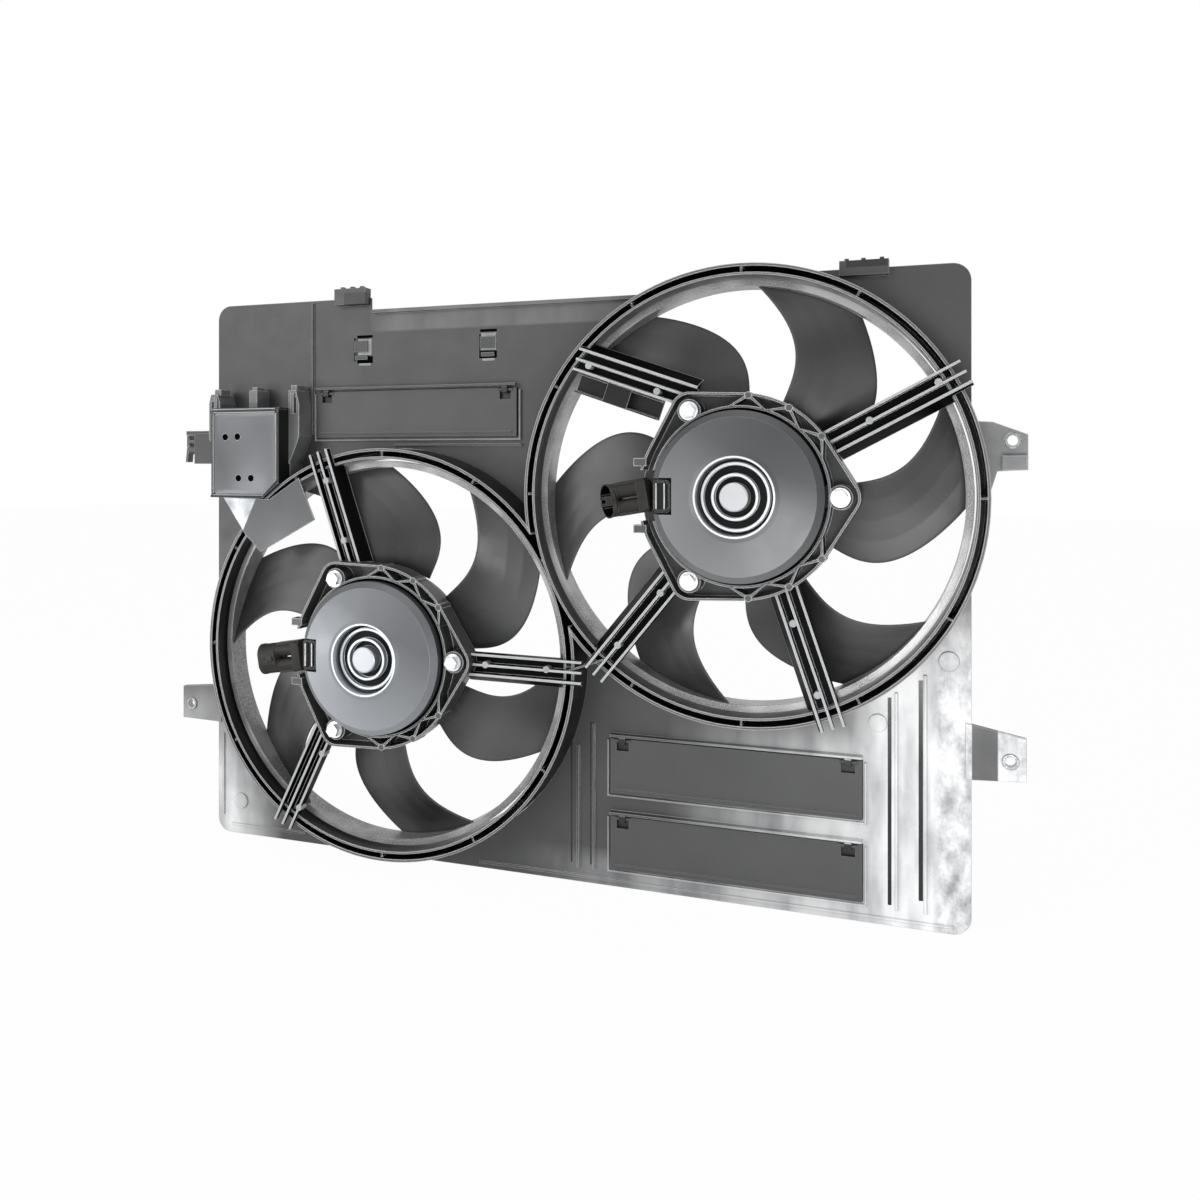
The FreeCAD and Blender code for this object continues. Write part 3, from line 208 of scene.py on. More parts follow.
    def bump(self, source, height, strength, under):
        """Relief of a height on top of another direction."""
        made = self.node("ShaderNodeBump")
        made.inputs["Strength"].default_value = strength
        made.inputs["Distance"].default_value = height
        self.link(source, made.inputs["Height"])
        self.link(under, made.inputs["Normal"])
        return made.outputs["Normal"]

    def colour(self, source):
        self.link(source, self.surface.inputs["Base Color"])

    def rough(self, source):
        self.link(source, self.surface.inputs["Roughness"])

    def normal(self, source):
        self.link(source, self.surface.inputs["Normal"])

    def fixed(self, **values):
        for key, value in values.items():
            self.surface.inputs[key.replace("_", " ")].default_value = value


def tones(rows):
    """Stops of a ramp from rows of (place, screen value, turn towards blue)."""
    return [(spot, grey(level, blue)) for spot, level, blue in rows]


# Moulded plastic

# the middle of the range that noise fills
NOISE_MIDDLE = (0.3, 0.7)
# how much lighter the specks of the plastic are, in screen values
SPECK_LIGHTER = 30
# how much smoother the area with the painted highlight is
POLISH = 0.14
# tones of the painted highlight, and of its mottled part beside the panel's right edge
HIGHLIGHT_PATCH_TONES = ((0.34, 176, 0.05), (0.47, 222, 0.03), (0.60, 248, 0.01))
HIGHLIGHT_CURL_TONES = ((0.36, 150, 0.06), (0.50, 214, 0.03), (0.60, 250, 0.01))
MOTTLED_HIGHLIGHT_FROM = (0.2960, 0.3020)
# how far below its top a rib still has its painted highlight, and has none again
TOP_HIGHLIGHT_FADE = (0.0002, 0.0006)


def polish_and_painted_highlight(made, area, base, matt):
    """The colour with a painted highlight laid over an area, mottled near the panel's right edge, and the
    roughness made smoother there.
    """
    share = made.times(area(made), made.front())
    patches = made.noise(size=0.060, roughness=0.5, stretch=(2.4, 1.0, 0.6))
    curls = made.noise(size=0.020, detail=5.0, roughness=0.65, stretch=(1.2, 1.0, 0.8))
    strip = made.times(share, made.fade_in("X", *MOTTLED_HIGHLIGHT_FROM, level=0.85))
    base = made.mix(share, base, made.ramp(patches, tones(HIGHLIGHT_PATCH_TONES)))
    base = made.mix(strip, base, made.ramp(curls, tones(HIGHLIGHT_CURL_TONES)))
    return base, made.maths("SUBTRACT", matt, made.times(share, POLISH))


def moulded(name, dark, light, edge, rough=(0.34, 0.46), grain=0.0007, depth=0.00006, edge_width=0.0009,
            blue=0.03, lit=None, tops=None, shine=0.5, shades=(), cloud=(0.055, 4.0)):
    """Black glass-filled plastic: fine grain, faint flow marks and a painted highlight along its edges.

    lit(shader) gives the share of an area with a painted highlight, which is also made smoother.
    tops is (depth, level): ribs that reach that depth get a painted highlight of that lighter grey on their
    top faces.
    shades are rectangles of the face painted dark as shade: (left, right, bottom, top, level).
    cloud is the size and the detail of the flow marks."""
    made = Shader(name)
    flow = made.noise(size=cloud[0], detail=cloud[1], roughness=0.6)
    base = made.ramp(flow, tones(((0.32, dark, blue), (0.70, light, blue))))
    specks = made.spread(made.noise(size=0.0011, detail=2.0), over=(0.55, 0.75), to=(0.0, 0.12))
    base = made.mix(specks, base, grey(light + SPECK_LIGHTER, blue))
    matt = made.spread(made.noise(size=0.02), NOISE_MIDDLE, rough)
    # painted highlight over the area that lit gives, where the roughness is also lower
    if lit is not None:
        base, matt = polish_and_painted_highlight(made, lit, base, matt)
    # painted highlight on the top faces of the ribs
    if tops is not None:
        reach, level = tops
        top_highlighted = made.fade_out("Y", -reach + TOP_HIGHLIGHT_FADE[0], -reach + TOP_HIGHLIGHT_FADE[1])
        base = made.mix(top_highlighted, base, grey(level, blue))
    rounded = made.rounded(edge_width)
    # painted highlight along the edges
    base = made.mix(made.edges(rounded), base, grey(edge, blue))
    # painted shade in the gaps round the flaps, in the grooves and in the openings
    for left, right, bottom, top, level in shades:
        painted_shade = made.times(made.inside(left, right, bottom, top), made.front())
        base = made.mix(painted_shade, base, grey(level, blue))
    made.colour(base)
    made.rough(matt)
    made.fixed(Specular_IOR_Level=shine)
    made.normal(made.bump(made.noise(size=grain, detail=2.0), height=depth, strength=0.6, under=rounded))
    return made.material


def lit_right(made):
    """The corner beside and below the lower flaps with a painted highlight, with the lug's root left dark.
    """
    side = made.times(made.fade_in("X", 0.228, 0.262), made.fade_out("Z", -0.060, 0.010))
    floor_rim = made.times(made.fade_in("Z", -0.210, -0.224, level=0.75), made.fade_in("X", -0.020, 0.240))
    window_rim = made.times(made.fade_in("X", 0.10, 0.25, level=0.8), made.fade_out("Z", -0.118, -0.085))
    lug_root = made.times(made.fade_in("X", 0.3225, 0.3235), made.fade_out("X", 0.3400, 0.3410, level=0.97))
    area = made.maths("MAXIMUM", side, made.maths("MAXIMUM", floor_rim, window_rim))
    return made.times(made.maths("SUBTRACT", 1.0, lug_root), area)


def lit_left(made):
    """The lower left corner with a painted highlight, which fades upwards and towards the ring."""
    across = made.fade_out("X", -0.318, -0.252)
    up = made.spread(made.axis("Z"), over=(-0.205, -0.110), to=(1.0, 0.1))
    cloud = made.spread(made.noise(size=0.05, detail=2.0), over=(0.35, 0.6), to=(0.6, 1.0))
    return made.times(made.times(across, up), cloud)


def lit_top(made):
    """The band along the top edge, a little lighter than the rest from a faint painted highlight."""
    return made.times(made.fade_in("X", -0.166, -0.150, level=0.09), made.fade_in("Z", 0.2095, 0.2115))


# Metals

# the way along which a painted highlight on a motor cap grows, the stretch of it round the middle, and by
# how much
CAP_HIGHLIGHT_WAY = (-0.45, -0.89)
CAP_HIGHLIGHT_STRETCH = (-0.030, 0.062)
CAP_HIGHLIGHT_GAIN = 1.5
# painted shade in the grooves and painted highlight on the crests of a cap's well, each a share of the
# well's radius with a screen value
WELL_RADIUS = 0.030
WELL_PAINTED_RINGS = ((0.0, 184), (0.345, 184), (0.355, 7), (0.485, 7), (0.495, 205), (0.57, 205), (0.58, 6),
              (0.755, 6), (0.765, 205), (0.84, 205), (0.85, 8), (0.905, 8), (0.93, 215))
WELL_EDGE = (0.975, 0.985)
# the way across the shield's crease, the stretch in which the crease lies, and the level of its dark rim
FOLD_WAY = (0.90, -0.43)
FOLD_PLACE = (-0.2610, -0.2600)
FOLD_RIM_LEVEL = 8


def cap_painted_light(made, base, well, light, blue):
    """A motor cap's colour with a painted highlight towards its lower left, and painted shade and highlight
    in the rings of its well.
    """
    middle = CAP_HIGHLIGHT_WAY[0] * well[0] + CAP_HIGHLIGHT_WAY[1] * well[1]
    # painted highlight towards the cap's lower left
    cap_highlight = made.spread(made.along(CAP_HIGHLIGHT_WAY), over=(middle + CAP_HIGHLIGHT_STRETCH[0], middle + CAP_HIGHLIGHT_STRETCH[1]))
    base = made.mix(cap_highlight, base, grey(light * CAP_HIGHLIGHT_GAIN, blue))
    # painted shade in the grooves of the well and painted highlight on its crests
    reach = made.maths("DIVIDE", made.around(well), WELL_RADIUS)
    rings = made.ramp(reach, [(spot, grey(level, blue)) for spot, level in WELL_PAINTED_RINGS])
    return made.mix(made.spread(reach, WELL_EDGE, (1.0, 0.0)), base, rings)


def satin_steel(name, dark, light, edge, blue=0.05, metal=0.75, rough=(0.34, 0.42), edge_width=0.0006,
                well=None, facet=None):
    """Pressed and painted sheet steel with a soft sheen and a painted highlight along its edges.

    well is a fan's middle, round which the motor cap's grooves get painted shade and their crests a painted
    highlight.
    facet(shader) gives the share of a facet with a painted highlight and a dark rim."""
    made = Shader(name)
    base = made.ramp(made.noise(size=0.09, detail=1.0), tones(((0.3, dark, blue), (0.7, light, blue))))
    if well is not None:
        base = cap_painted_light(made, base, well, light, blue)
    rounded = made.rounded(edge_width)
    # painted highlight along the edges
    rim = made.edges(rounded)
    painted = made.mix(rim, base, grey(edge, blue))
    # painted highlight on the shield's facet
    if facet is not None:
        bright = made.ramp(made.noise(size=0.018), tones(((0.35, 138, blue), (0.65, 196, blue))))
        painted = made.mix(facet(made), painted, made.mix(rim, bright, grey(FOLD_RIM_LEVEL)))
    made.colour(painted)
    made.rough(made.spread(made.noise(size=0.03, detail=2.0), NOISE_MIDDLE, rough))
    made.normal(made.bump(made.noise(size=0.0009, detail=2.0), height=0.00001, strength=0.2, under=rounded))
    made.fixed(Metallic=metal)
    return made.material


def shield_facet(made):
    """The left facet of the folded shield, which catches the light."""
    return made.spread(made.along(FOLD_WAY), FOLD_PLACE, (1.0, 0.0))


def bright_metal(name, low, high, rough=(0.2, 0.34)):
    """Zinc plated or machined metal with small scratches, between two colours."""
    made = Shader(name)
    streak = made.noise(size=0.0014, detail=4.0, roughness=0.6, stretch=(1.0, 1.0, 0.2))
    made.colour(made.ramp(streak, [(0.3, low), (0.7, high)]))
    made.rough(made.spread(made.noise(size=0.003), NOISE_MIDDLE, rough))
    made.normal(made.bump(streak, height=0.00003, strength=0.5, under=made.rounded(0.0004)))
    made.fixed(Metallic=1.0)
    return made.material


def grey_metal(name, dark, light, rough=(0.2, 0.34)):
    """Bright metal between two screen values."""
    return bright_metal(name, grey(dark, 0.03), grey(light, 0.03), rough)


def band_finish():
    """The fan's outer band: rough ground plastic with bright specks."""
    made = Shader("band_speckled")
    speck = made.noise(size=0.0008, detail=4.0, roughness=0.7)
    broad = made.spread(made.noise(size=0.045, detail=2.0), over=(0.42, 0.62), to=(0.0, 0.7))
    fine = made.ramp(speck, tones(((0.34, 66, 0.0), (0.50, 116, 0.0), (0.66, 196, 0.0))))
    made.colour(made.mix(broad, fine, grey(186)))
    made.rough(made.spread(speck, NOISE_MIDDLE, to=(0.45, 0.25)))
    made.normal(made.bump(speck, height=0.0002, strength=0.5, under=made.rounded(0.0005)))
    made.fixed(Metallic=0.35)
    return made.material


# Painted shade on the panel: left, right, bottom and top of the flaps, the ribs' grooves and the towers

FLAPS = (
    (-0.2160, -0.0260, 0.1190, 0.1575),
    (0.0550, 0.2480, -0.1650, -0.1230),
    (0.0550, 0.2480, -0.2250, -0.1845),
)
GROOVES = (
    (0.2660, 0.2684, -0.2250, -0.0740),
    (0.2874, 0.2902, -0.2190, -0.0600),
    (0.0205, 0.0217, -0.2250, -0.1110),
    (0.0371, 0.0385, -0.2250, -0.1110),
)
# how dark the painted shade in the gaps is, and how far the one round a flap reaches beside and above it
GAP_LEVEL = 9
GAP_BESIDE = 0.0004
GAP_ABOVE = 0.0018
# the towers' openings have a level of painted shade of their own at the end
TOWER_SHADES = ((-0.1860, -0.1600, 0.2340, 0.2440, 24), (0.2370, 0.2660, 0.2400, 0.2460, 30))

flap_shades = tuple(
    (left - GAP_BESIDE, right + GAP_BESIDE, bottom, top + GAP_ABOVE, GAP_LEVEL)
    for left, right, bottom, top in FLAPS)
groove_shades = tuple(groove + (GAP_LEVEL,) for groove in GROOVES)

# Finishes of the plastic: screen values of its dark and light parts and of the painted highlight along its
# edges

# lit lays a painted highlight on a panel, and shades lay painted shade on it
panel_black = moulded("panel_black", 62, 70, 160, shades=TOWER_SHADES)
panel_top = moulded("panel_top_black", 55, 63, 165, lit=lit_top, shades=flap_shades[:1] + TOWER_SHADES)
panel_right = moulded("panel_lit_right", 60, 68, 190, lit=lit_right, shades=flap_shades[1:] + groove_shades)
panel_left = moulded("panel_lit_left", 60, 68, 190, lit=lit_left)
frame_light = moulded("frame_light", 84, 124, 205, lit=lit_right)
flap_black = moulded("flap_black", 64, 70, 120, rough=(0.42, 0.5), depth=0.00003)
ring_black = moulded("ring_black", 9, 16, 238, rough=(0.3, 0.42), edge_width=0.0013, shine=0.25,
                     tops=(0.0350, 92))
spoke_black = moulded("spoke_black", 3, 6, 236, rough=(0.4, 0.5), edge_width=0.0012, shine=0.06,
                      tops=(0.0390, 176))
carrier_black = moulded("carrier_black", 56, 74, 238, rough=(0.3, 0.42), edge_width=0.0013, shine=0.3,
                        tops=(0.0460, 84))
holder_black = moulded("holder_black", 88, 122, 236, edge_width=0.0010)
frame_black = moulded("frame_black", 18, 30, 170, edge_width=0.0006, shine=0.2)
lug_grey = moulded("lug_grey", 126, 165, 238, edge_width=0.0010)
hook_black = moulded("hook_black", 50, 72, 205, edge_width=0.0010)
# on the blades the flow marks are large and swing from 18 to 78 as painted highlights
fan_black = moulded("fan_black", 18, 78, 74, rough=(0.28, 0.38), grain=0.0010, edge_width=0.0030,
                    cloud=(0.085, 1.0))
plug_black = moulded("plug_black", 32, 44, 96, rough=(0.4, 0.5), blue=-0.10, edge_width=0.0006, shine=0.2)
clip_black = moulded("clip_black", 24, 36, 190, shine=0.2)
tongue_grey = moulded("tongue_grey", 96, 150, 235, edge_width=0.0010)
boss_grey = moulded("boss_grey", 150, 175, 225, edge_width=0.0006)
# near-black sheets put where there is only shade: painted shade in holes, slots and the plugs' mouths
hole_shade = moulded("hole_shade", 3, 4, 5, rough=(0.8, 0.9), shine=0.02)
magnet_grey = moulded("magnet_grey", 50, 62, 90, rough=(0.5, 0.6))
carbon = moulded("brush_carbon", 28, 36, 60, rough=(0.55, 0.65))
resin = moulded("brush_plate_resin", 66, 80, 110, rough=(0.5, 0.6), blue=-0.3)
band_speckled = band_finish()

# Finishes of the metal parts

# the left cap is a lighter, bluer copy of the right cap's paint: the difference is painted light
cap_left = satin_steel("cap_left_satin", 96, 106, 190, blue=0.10, rough=(0.4, 0.48), well=FAN["left"])
cap_right = satin_steel("cap_right_satin", 78, 84, 180, blue=0.05, rough=(0.4, 0.48), well=FAN["right"])
can_steel = satin_steel("can_steel", 60, 76, 140)
core_steel = satin_steel("laminated_steel", 80, 110, 150, metal=0.9)
module_grey = satin_steel("module_grey", 84, 104, 235, blue=0.10, metal=0.3, rough=(0.34, 0.44))
shield_metal = satin_steel("shield_satin", 58, 74, 235, blue=0.10, metal=0.4, rough=(0.3, 0.4),
                           edge_width=0.0011, facet=shield_facet)
zinc = grey_metal("zinc_plated", 200, 232, rough=(0.36, 0.46))
contact_grey = grey_metal("aged_contact", 40, 60, rough=(0.5, 0.6))
steel = grey_metal("machined_steel", 150, 190)
lug_metal = grey_metal("lug_sleeve_metal", 120, 165)
bar_metal = grey_metal("contact_bar_metal", 150, 190, rough=(0.4, 0.5))
copper = bright_metal("enamelled_copper", (0.42, 0.14, 0.05, 1), (0.66, 0.27, 0.10, 1))

FINISH = {
    "panel_upper": panel_top,
    "panel_lower": panel_right,
    "panel_corner_left": panel_left,
    "panel_corner_right": panel_black,
    "flap_upper": flap_black,
    "flap_lower_inner": flap_black,
    "flap_lower_outer": flap_black,
    "module_holder": holder_black,
    "control_module": module_grey,
    "heat_shield": shield_metal,
    "harness_clip": clip_black,
    "lug_sleeves": lug_metal,
    "lug_right_upper": lug_grey,
    "lug_left_upper": hook_black,
    "left_motor_cap": cap_left,
    "right_motor_cap": cap_right,
}
FINISH_OF_BOTH = {
    "ring": ring_black,
    "spokes": spoke_black,
    "motor_carrier": carrier_black,
    "motor_can": can_steel,
    "motor_bolts": zinc,
    "motor_magnets": magnet_grey,
    "bearing_rear": steel,
    "bearing_front": steel,
    "brush_plate": resin,
    "brushes": carbon,
    "connector": plug_black,
    "terminals": contact_grey,
    "fan_hub": fan_black,
    "fan_blades": fan_black,
    "fan_band": band_speckled,
    "fan_nut": zinc,
    "shaft": steel,
    "armature_core": core_steel,
    "windings": copper,
    "commutator": copper,
}
for side in FAN:
    for part, finish in FINISH_OF_BOTH.items():
        FINISH[side + "_" + part] = finish

for name, node in nodes.items():
    finish = FINISH[name]
    if not node.material_slots:
        node.data.materials.append(finish)
    for slot in node.material_slots:
        slot.link = "OBJECT"
        slot.material = finish

# Building blocks of the added pieces: a shape is a list of points and a list of faces

SMOOTH_BELOW = math.radians(35)
ROUND_POINTS = 28
STUD_POINTS = 18
PIN_POINTS = 20


def piece(name, shape, finish, body):
    """A mesh that rides on a body; its flat sides stay flat and its curves smooth."""
    points, faces = shape
    mesh = bpy.data.meshes.new(name)
    mesh.from_pydata(points, [], faces)
    work = bmesh.new()
    work.from_mesh(mesh)
    bmesh.ops.recalc_face_normals(work, faces=work.faces)
    for edge in work.edges:
        edge.smooth = len(edge.link_faces) == 2 and edge.calc_face_angle(0) < SMOOTH_BELOW
    for face in work.faces:
        face.smooth = True
    work.to_mesh(mesh)
    work.free()
    mesh.materials.append(finish)
    made = bpy.data.objects.new(name, mesh)
    scene.collection.objects.link(made)
    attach(made, body)
    return made


def oval(half_wide, half_high, round_by, count=ROUND_POINTS):
    """Points of a rectangle with rounded corners, or of a circle if round_by is the half size."""
    points = []
    for step in range(count):
        turn = 2 * math.pi * (step + 0.5) / count
        across, along = math.cos(turn), math.sin(turn)
        points.append((math.copysign(half_wide - round_by, across) + round_by * across,
                       math.copysign(half_high - round_by, along) + round_by * along))
    return points


def loft(rings):
    """A shape through rings of equally many points, closed at both ends."""
    points = [point for ring in rings for point in ring]
    count = len(rings[0])
    faces = [tuple(range(count)), tuple(range(len(points) - count, len(points)))]
    for level in range(len(rings) - 1):
        for step in range(count):
            first = level * count + step
            second = level * count + (step + 1) % count
            faces.append((first, second, second + count, first + count))
    return points, faces


def join(shapes):
    """Several shapes as one."""
    points, faces = [], []
    for some_points, some_faces in shapes:
        start = len(points)
        points.extend(some_points)
        faces.extend(tuple(start + index for index in face) for face in some_faces)
    return points, faces


def stud(across, along, low, high, radius, chamfer=0.0004):
    """A round stud with a chamfered top, between two depths.

    A depth is a distance from the panel's back towards the engine, so it is -Y."""
    rings = []
    for depth, size in ((low, radius), (high - chamfer, radius), (high, radius - chamfer)):
        rings.append([(across + x, -depth, along + z) for x, z in oval(size, size, size, STUD_POINTS)])
    return loft(rings)


def bar(start, end, low, high, width, chamfer=0.0003):
    """A straight rib between two points of the panel and two depths, with chamfered top edges."""
    way = Vector((end[0] - start[0], end[1] - start[1])).normalized()
    side = Vector((-way.y, way.x)) * width / 2
    rings = []
    for depth, shrink in ((low, 0.0), (high - chamfer, 0.0), (high, chamfer)):
        part = (width / 2 - shrink) / (width / 2)
        first = Vector(start) + way * shrink
        last = Vector(end) - way * shrink
        rings.append([(spot.x, -depth, spot.y) for spot in (
            first - side * part, last - side * part, last + side * part, first + side * part)])
    return loft(rings)


def plate(outline, steps):
    """A plate with a many-sided outline; each step is (depth, how far its sides stand in)."""
    middle = Vector((sum(x for x, z in outline) / len(outline), sum(z for x, z in outline) / len(outline)))
    reach = max((Vector(spot) - middle).length for spot in outline)
    rings = []
    for depth, inset in steps:
        part = 1 - inset / reach
        rings.append([(middle.x + (x - middle.x) * part, -depth, middle.y + (z - middle.y) * part)
                      for x, z in outline])
    return loft(rings)


def block(left, right, bottom, top, low, high, inset=0.0008, chamfer=0.0006):
    """A small moulded block between two depths, with a chamfered face."""
    outline = [(left, bottom), (right, bottom), (right, top), (left, top)]
    return plate(outline, ((low, 0.0), (high - chamfer, 0.0), (high, inset)))


# Round ejector bosses on the middle rib of each spoke: distance from the fan's axis and angle

SPOKE_BOSSES = {
    "left": ((0.1522, 109.0), (0.0994, 109.0), (0.0972, -0.9), (0.1491, -0.7), (0.1015, 238.2),
             (0.1546, 240.4)),
    "right": ((0.1587, 30.2), (0.1064, 30.6), (0.1527, 139.6), (0.0998, 128.6), (0.0943, 230.8),
              (0.1472, 230.8), (0.0987, 293.0), (0.1516, 291.6)),
}
SPOKE_TOP = 0.0390
BOSS_HEIGHT = 0.0080
BOSS_PROUD = 0.0003
BOSS_RADIUS = 0.0027

bosses = []
for side, places in SPOKE_BOSSES.items():
    for radius, angle in places:
        across = FAN[side][0] + radius * math.cos(math.radians(angle))
        along = FAN[side][1] + radius * math.sin(math.radians(angle))
        bosses.append(stud(across, along, SPOKE_TOP - BOSS_HEIGHT, SPOKE_TOP + BOSS_PROUD, BOSS_RADIUS))
piece("spoke_bosses", join(bosses), boss_grey, "shroud")

# The small web between the two ring housings

web = bar((0.0278, -0.0650), (0.0588, -0.0537), low=0.0330, high=0.0372, width=0.0016)
piece("ring_link_web", web, spoke_black, "shroud")

# Raised frames round the three flaps, open above

PANEL_FACE = 0.0030
FRAME_OUT = 0.0024
FRAME_TOP = 0.0052
FRAME_WIDTH = 0.0015
FRAME_CORNER = 0.0007

frames = []
for left, right, bottom, top in FLAPS:
    left, right, bottom = left - FRAME_OUT, right + FRAME_OUT, bottom - FRAME_OUT
    for start, end in (
        ((left, top), (left, bottom)),
        ((left - FRAME_CORNER, bottom), (right + FRAME_CORNER, bottom)),
        ((right, bottom), (right, top)),
    ):
        frames.append(bar(start, end, PANEL_FACE, FRAME_TOP, FRAME_WIDTH))
piece("flap_frames", join(frames), frame_light, "shroud")

# Plugs: an oval collar that is open at its mouth, two round chambers and a frame at the root

PLUG_TURN = {"left": 9.0, "right": 10.0}
PLUG_RISE = {"left": 0.0084, "right": 0.0125}
PLUG_MIDDLE = 0.0460
PLUG_MOUTH = 0.1060
MOUTH_SHADE_END = PLUG_MOUTH - 0.0005
MOUTH_SLANT = {"left": 0.0006, "right": 0.0074}
CHAMBER_SHIFT = 0.0061
RIDGE_SHIFT = CHAMBER_SHIFT * 0.4
RAIL_SHIFT = 0.0118


def station(reach, half_high, half_deep, round_by, lift=0.0, slant=0.0):
    """One ring of a plug at a distance from the fan's axis.

    lift moves it towards the engine, and slant is its share of the slant of the mouth."""
    return reach, half_high, half_deep, round_by, lift, slant


COLLAR = (
    station(0.0880, 0.0100, 0.0080, 0.0078),
    station(0.0885, 0.0122, 0.0092, 0.0088),
    station(0.0895, 0.0126, 0.0096, 0.0092),
    station(0.1030, 0.0126, 0.0096, 0.0092, slant=0.86),
    station(0.1034, 0.0130, 0.0100, 0.0096, slant=0.88),
    station(PLUG_MOUTH, 0.0130, 0.0100, 0.0096, slant=1.0),
    station(PLUG_MOUTH, 0.0119, 0.0089, 0.0086, slant=1.0),
    station(0.0890, 0.0114, 0.0084, 0.0082),
)
# a near-black cup just inside the collar, as painted shade in the plug's mouth
MOUTH_SHADE = (
    station(0.0891, 0.0112, 0.0082, 0.0080),
    station(MOUTH_SHADE_END, 0.0118, 0.0088, 0.0085, slant=1.0),
    station(MOUTH_SHADE_END, 0.0115, 0.0085, 0.0083, slant=1.0),
    station(0.0893, 0.0109, 0.0079, 0.0077),
)
CHAMBER = (
    station(0.0700, 0.0050, 0.0070, 0.0048),
    station(0.0704, 0.0055, 0.0076, 0.0053),
    station(0.0884, 0.0055, 0.0076, 0.0053),
    station(0.0888, 0.0050, 0.0070, 0.0048),
)
RIDGE = (
    station(0.0890, 0.0012, 0.0008, 0.0004, lift=0.0097),
    station(0.1000, 0.0012, 0.0008, 0.0004, lift=0.0097),
)
RAIL = (
    station(0.0660, 0.0009, 0.0060, 0.0006),
    station(0.0885, 0.0009, 0.0045, 0.0006),
)
ROOT = (
    station(0.0640, 0.0100, 0.0080, 0.0020),
    station(0.0645, 0.0112, 0.0092, 0.0024),
    station(0.0685, 0.0126, 0.0096, 0.0024),
    station(0.0716, 0.0126, 0.0096, 0.0024),
    station(0.0720, 0.0116, 0.0086, 0.0020),
)
FOOT = (
    station(0.0655, 0.0080, 0.0026, 0.0004, lift=-0.0118),
    station(0.0730, 0.0080, 0.0026, 0.0004, lift=-0.0118),
)
LATCH = (
    station(0.0900, 0.0030, 0.0010, 0.0006, lift=0.0102),
    station(0.0905, 0.0036, 0.0014, 0.0008, lift=0.0104),
    station(0.0955, 0.0030, 0.0014, 0.0008, lift=0.0104),
    station(0.0960, 0.0020, 0.0010, 0.0006, lift=0.0102),
)


def plug_ring(side, shift, reach, half_high, half_deep, round_by, lift, slant):
    """The points of a station, across the plug's own line and moved along the mouth by shift."""
    turn = math.radians(PLUG_TURN[side])
    slant = slant * MOUTH_SLANT[side]
    ring = []
    for high, deep in oval(half_high, half_deep, round_by):
        across = slant * (deep / half_deep + 1) - reach
        along = PLUG_RISE[side] + shift + high
        ring.append((
            FAN[side][0] + across * math.cos(turn) - along * math.sin(turn),
            -(PLUG_MIDDLE + lift + deep),
            FAN[side][1] + across * math.sin(turn) + along * math.cos(turn),
        ))
    return ring


def plug_part(side, stations, shift=0.0):
    """A shape through the stations of a plug."""
    return loft([plug_ring(side, shift, *ring) for ring in stations])


for side in FAN:
    # painted shade inside the plug's mouth
    piece(side + "_plug_mouth_shade", plug_part(side, MOUTH_SHADE), hole_shade, "shroud")
    parts = [plug_part(side, stations) for stations in (COLLAR, ROOT, FOOT, LATCH)]
    for sign in (-1, 1):
        parts.append(plug_part(side, CHAMBER, sign * CHAMBER_SHIFT))
        parts.append(plug_part(side, RIDGE, sign * RIDGE_SHIFT))
    for sign in (-1, 1):
        parts.append(plug_part(side, RAIL, sign * RAIL_SHIFT))
    made = piece(side + "_plug", join(parts), plug_black, "shroud")
    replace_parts(made, side + "_connector")

# Lead grommets in the notch of each motor cap, with two contact bars; each step is (depth, inset)

GROMMET = (-0.0612, -0.0468)
GROMMET_HALF_HIGH = 0.0128
GROMMET_STEPS = ((0.0460, 0.0), (0.0548, 0.0), (0.0560, 0.0010), (0.0560, 0.0022), (0.0535, 0.0026))
LEAD_BARS = (-0.0590, -0.0528)
LEAD_BAR_WIDTH = 0.0016
LEAD_BAR_HALF_HIGH = 0.0098
LEAD_BAR_STEPS = ((0.0530, 0.0), (0.0556, 0.0), (0.0562, 0.0003))
LARGEST_ROUNDING = 0.0030
LEAST_FLAT = 0.0001


def upright(side, left, right, half_high, steps):
    """A rounded block that points at the engine side, at a place beside the fan's axis."""
    middle = (left + right) / 2
    rings = []
    for depth, inset in steps:
        half_wide = (right - left) / 2 - inset
        outline = oval(half_wide, half_high - inset, min(LARGEST_ROUNDING, half_wide - LEAST_FLAT))
        rings.append([(FAN[side][0] + middle + x, -depth, FAN[side][1] + z) for x, z in outline])
    return loft(rings)


for side in FAN:
    grommet = upright(side, *GROMMET, GROMMET_HALF_HIGH, GROMMET_STEPS)
    piece(side + "_lead_grommet", grommet, frame_black, "shroud")
    bars = [upright(side, first, first + LEAD_BAR_WIDTH, LEAD_BAR_HALF_HIGH, LEAD_BAR_STEPS)
            for first in LEAD_BARS]
    piece(side + "_lead_bars", join(bars), bar_metal, "shroud")

# Cover of the control module with one corner cut off, the rims of its holes, and dark discs in them as
# painted shade

COVER_LEFT, COVER_RIGHT, COVER_BOTTOM, COVER_TOP = -0.3015, -0.2365, 0.0695, 0.1405
COVER_CUT = 0.0124
COVER_CORNER = 0.002
COVER_FACE = 0.0374
COVER_STEPS = ((0.0252, 0.0), (0.0366, 0.0), (0.0372, 0.0009), (0.0372, 0.0030), (COVER_FACE, 0.0040))
COVER_HOLES = ((-0.2887, 0.1194), (-0.2760, 0.1197), (-0.2749, 0.0835), (-0.2620, 0.0836))
HOLE_RIM = {"high": COVER_FACE + 0.0003, "radius": 0.0035, "chamfer": 0.0002}
HOLE_SHADE_DISC = {"high": COVER_FACE + 0.0005, "radius": 0.0029, "chamfer": 0.0001}

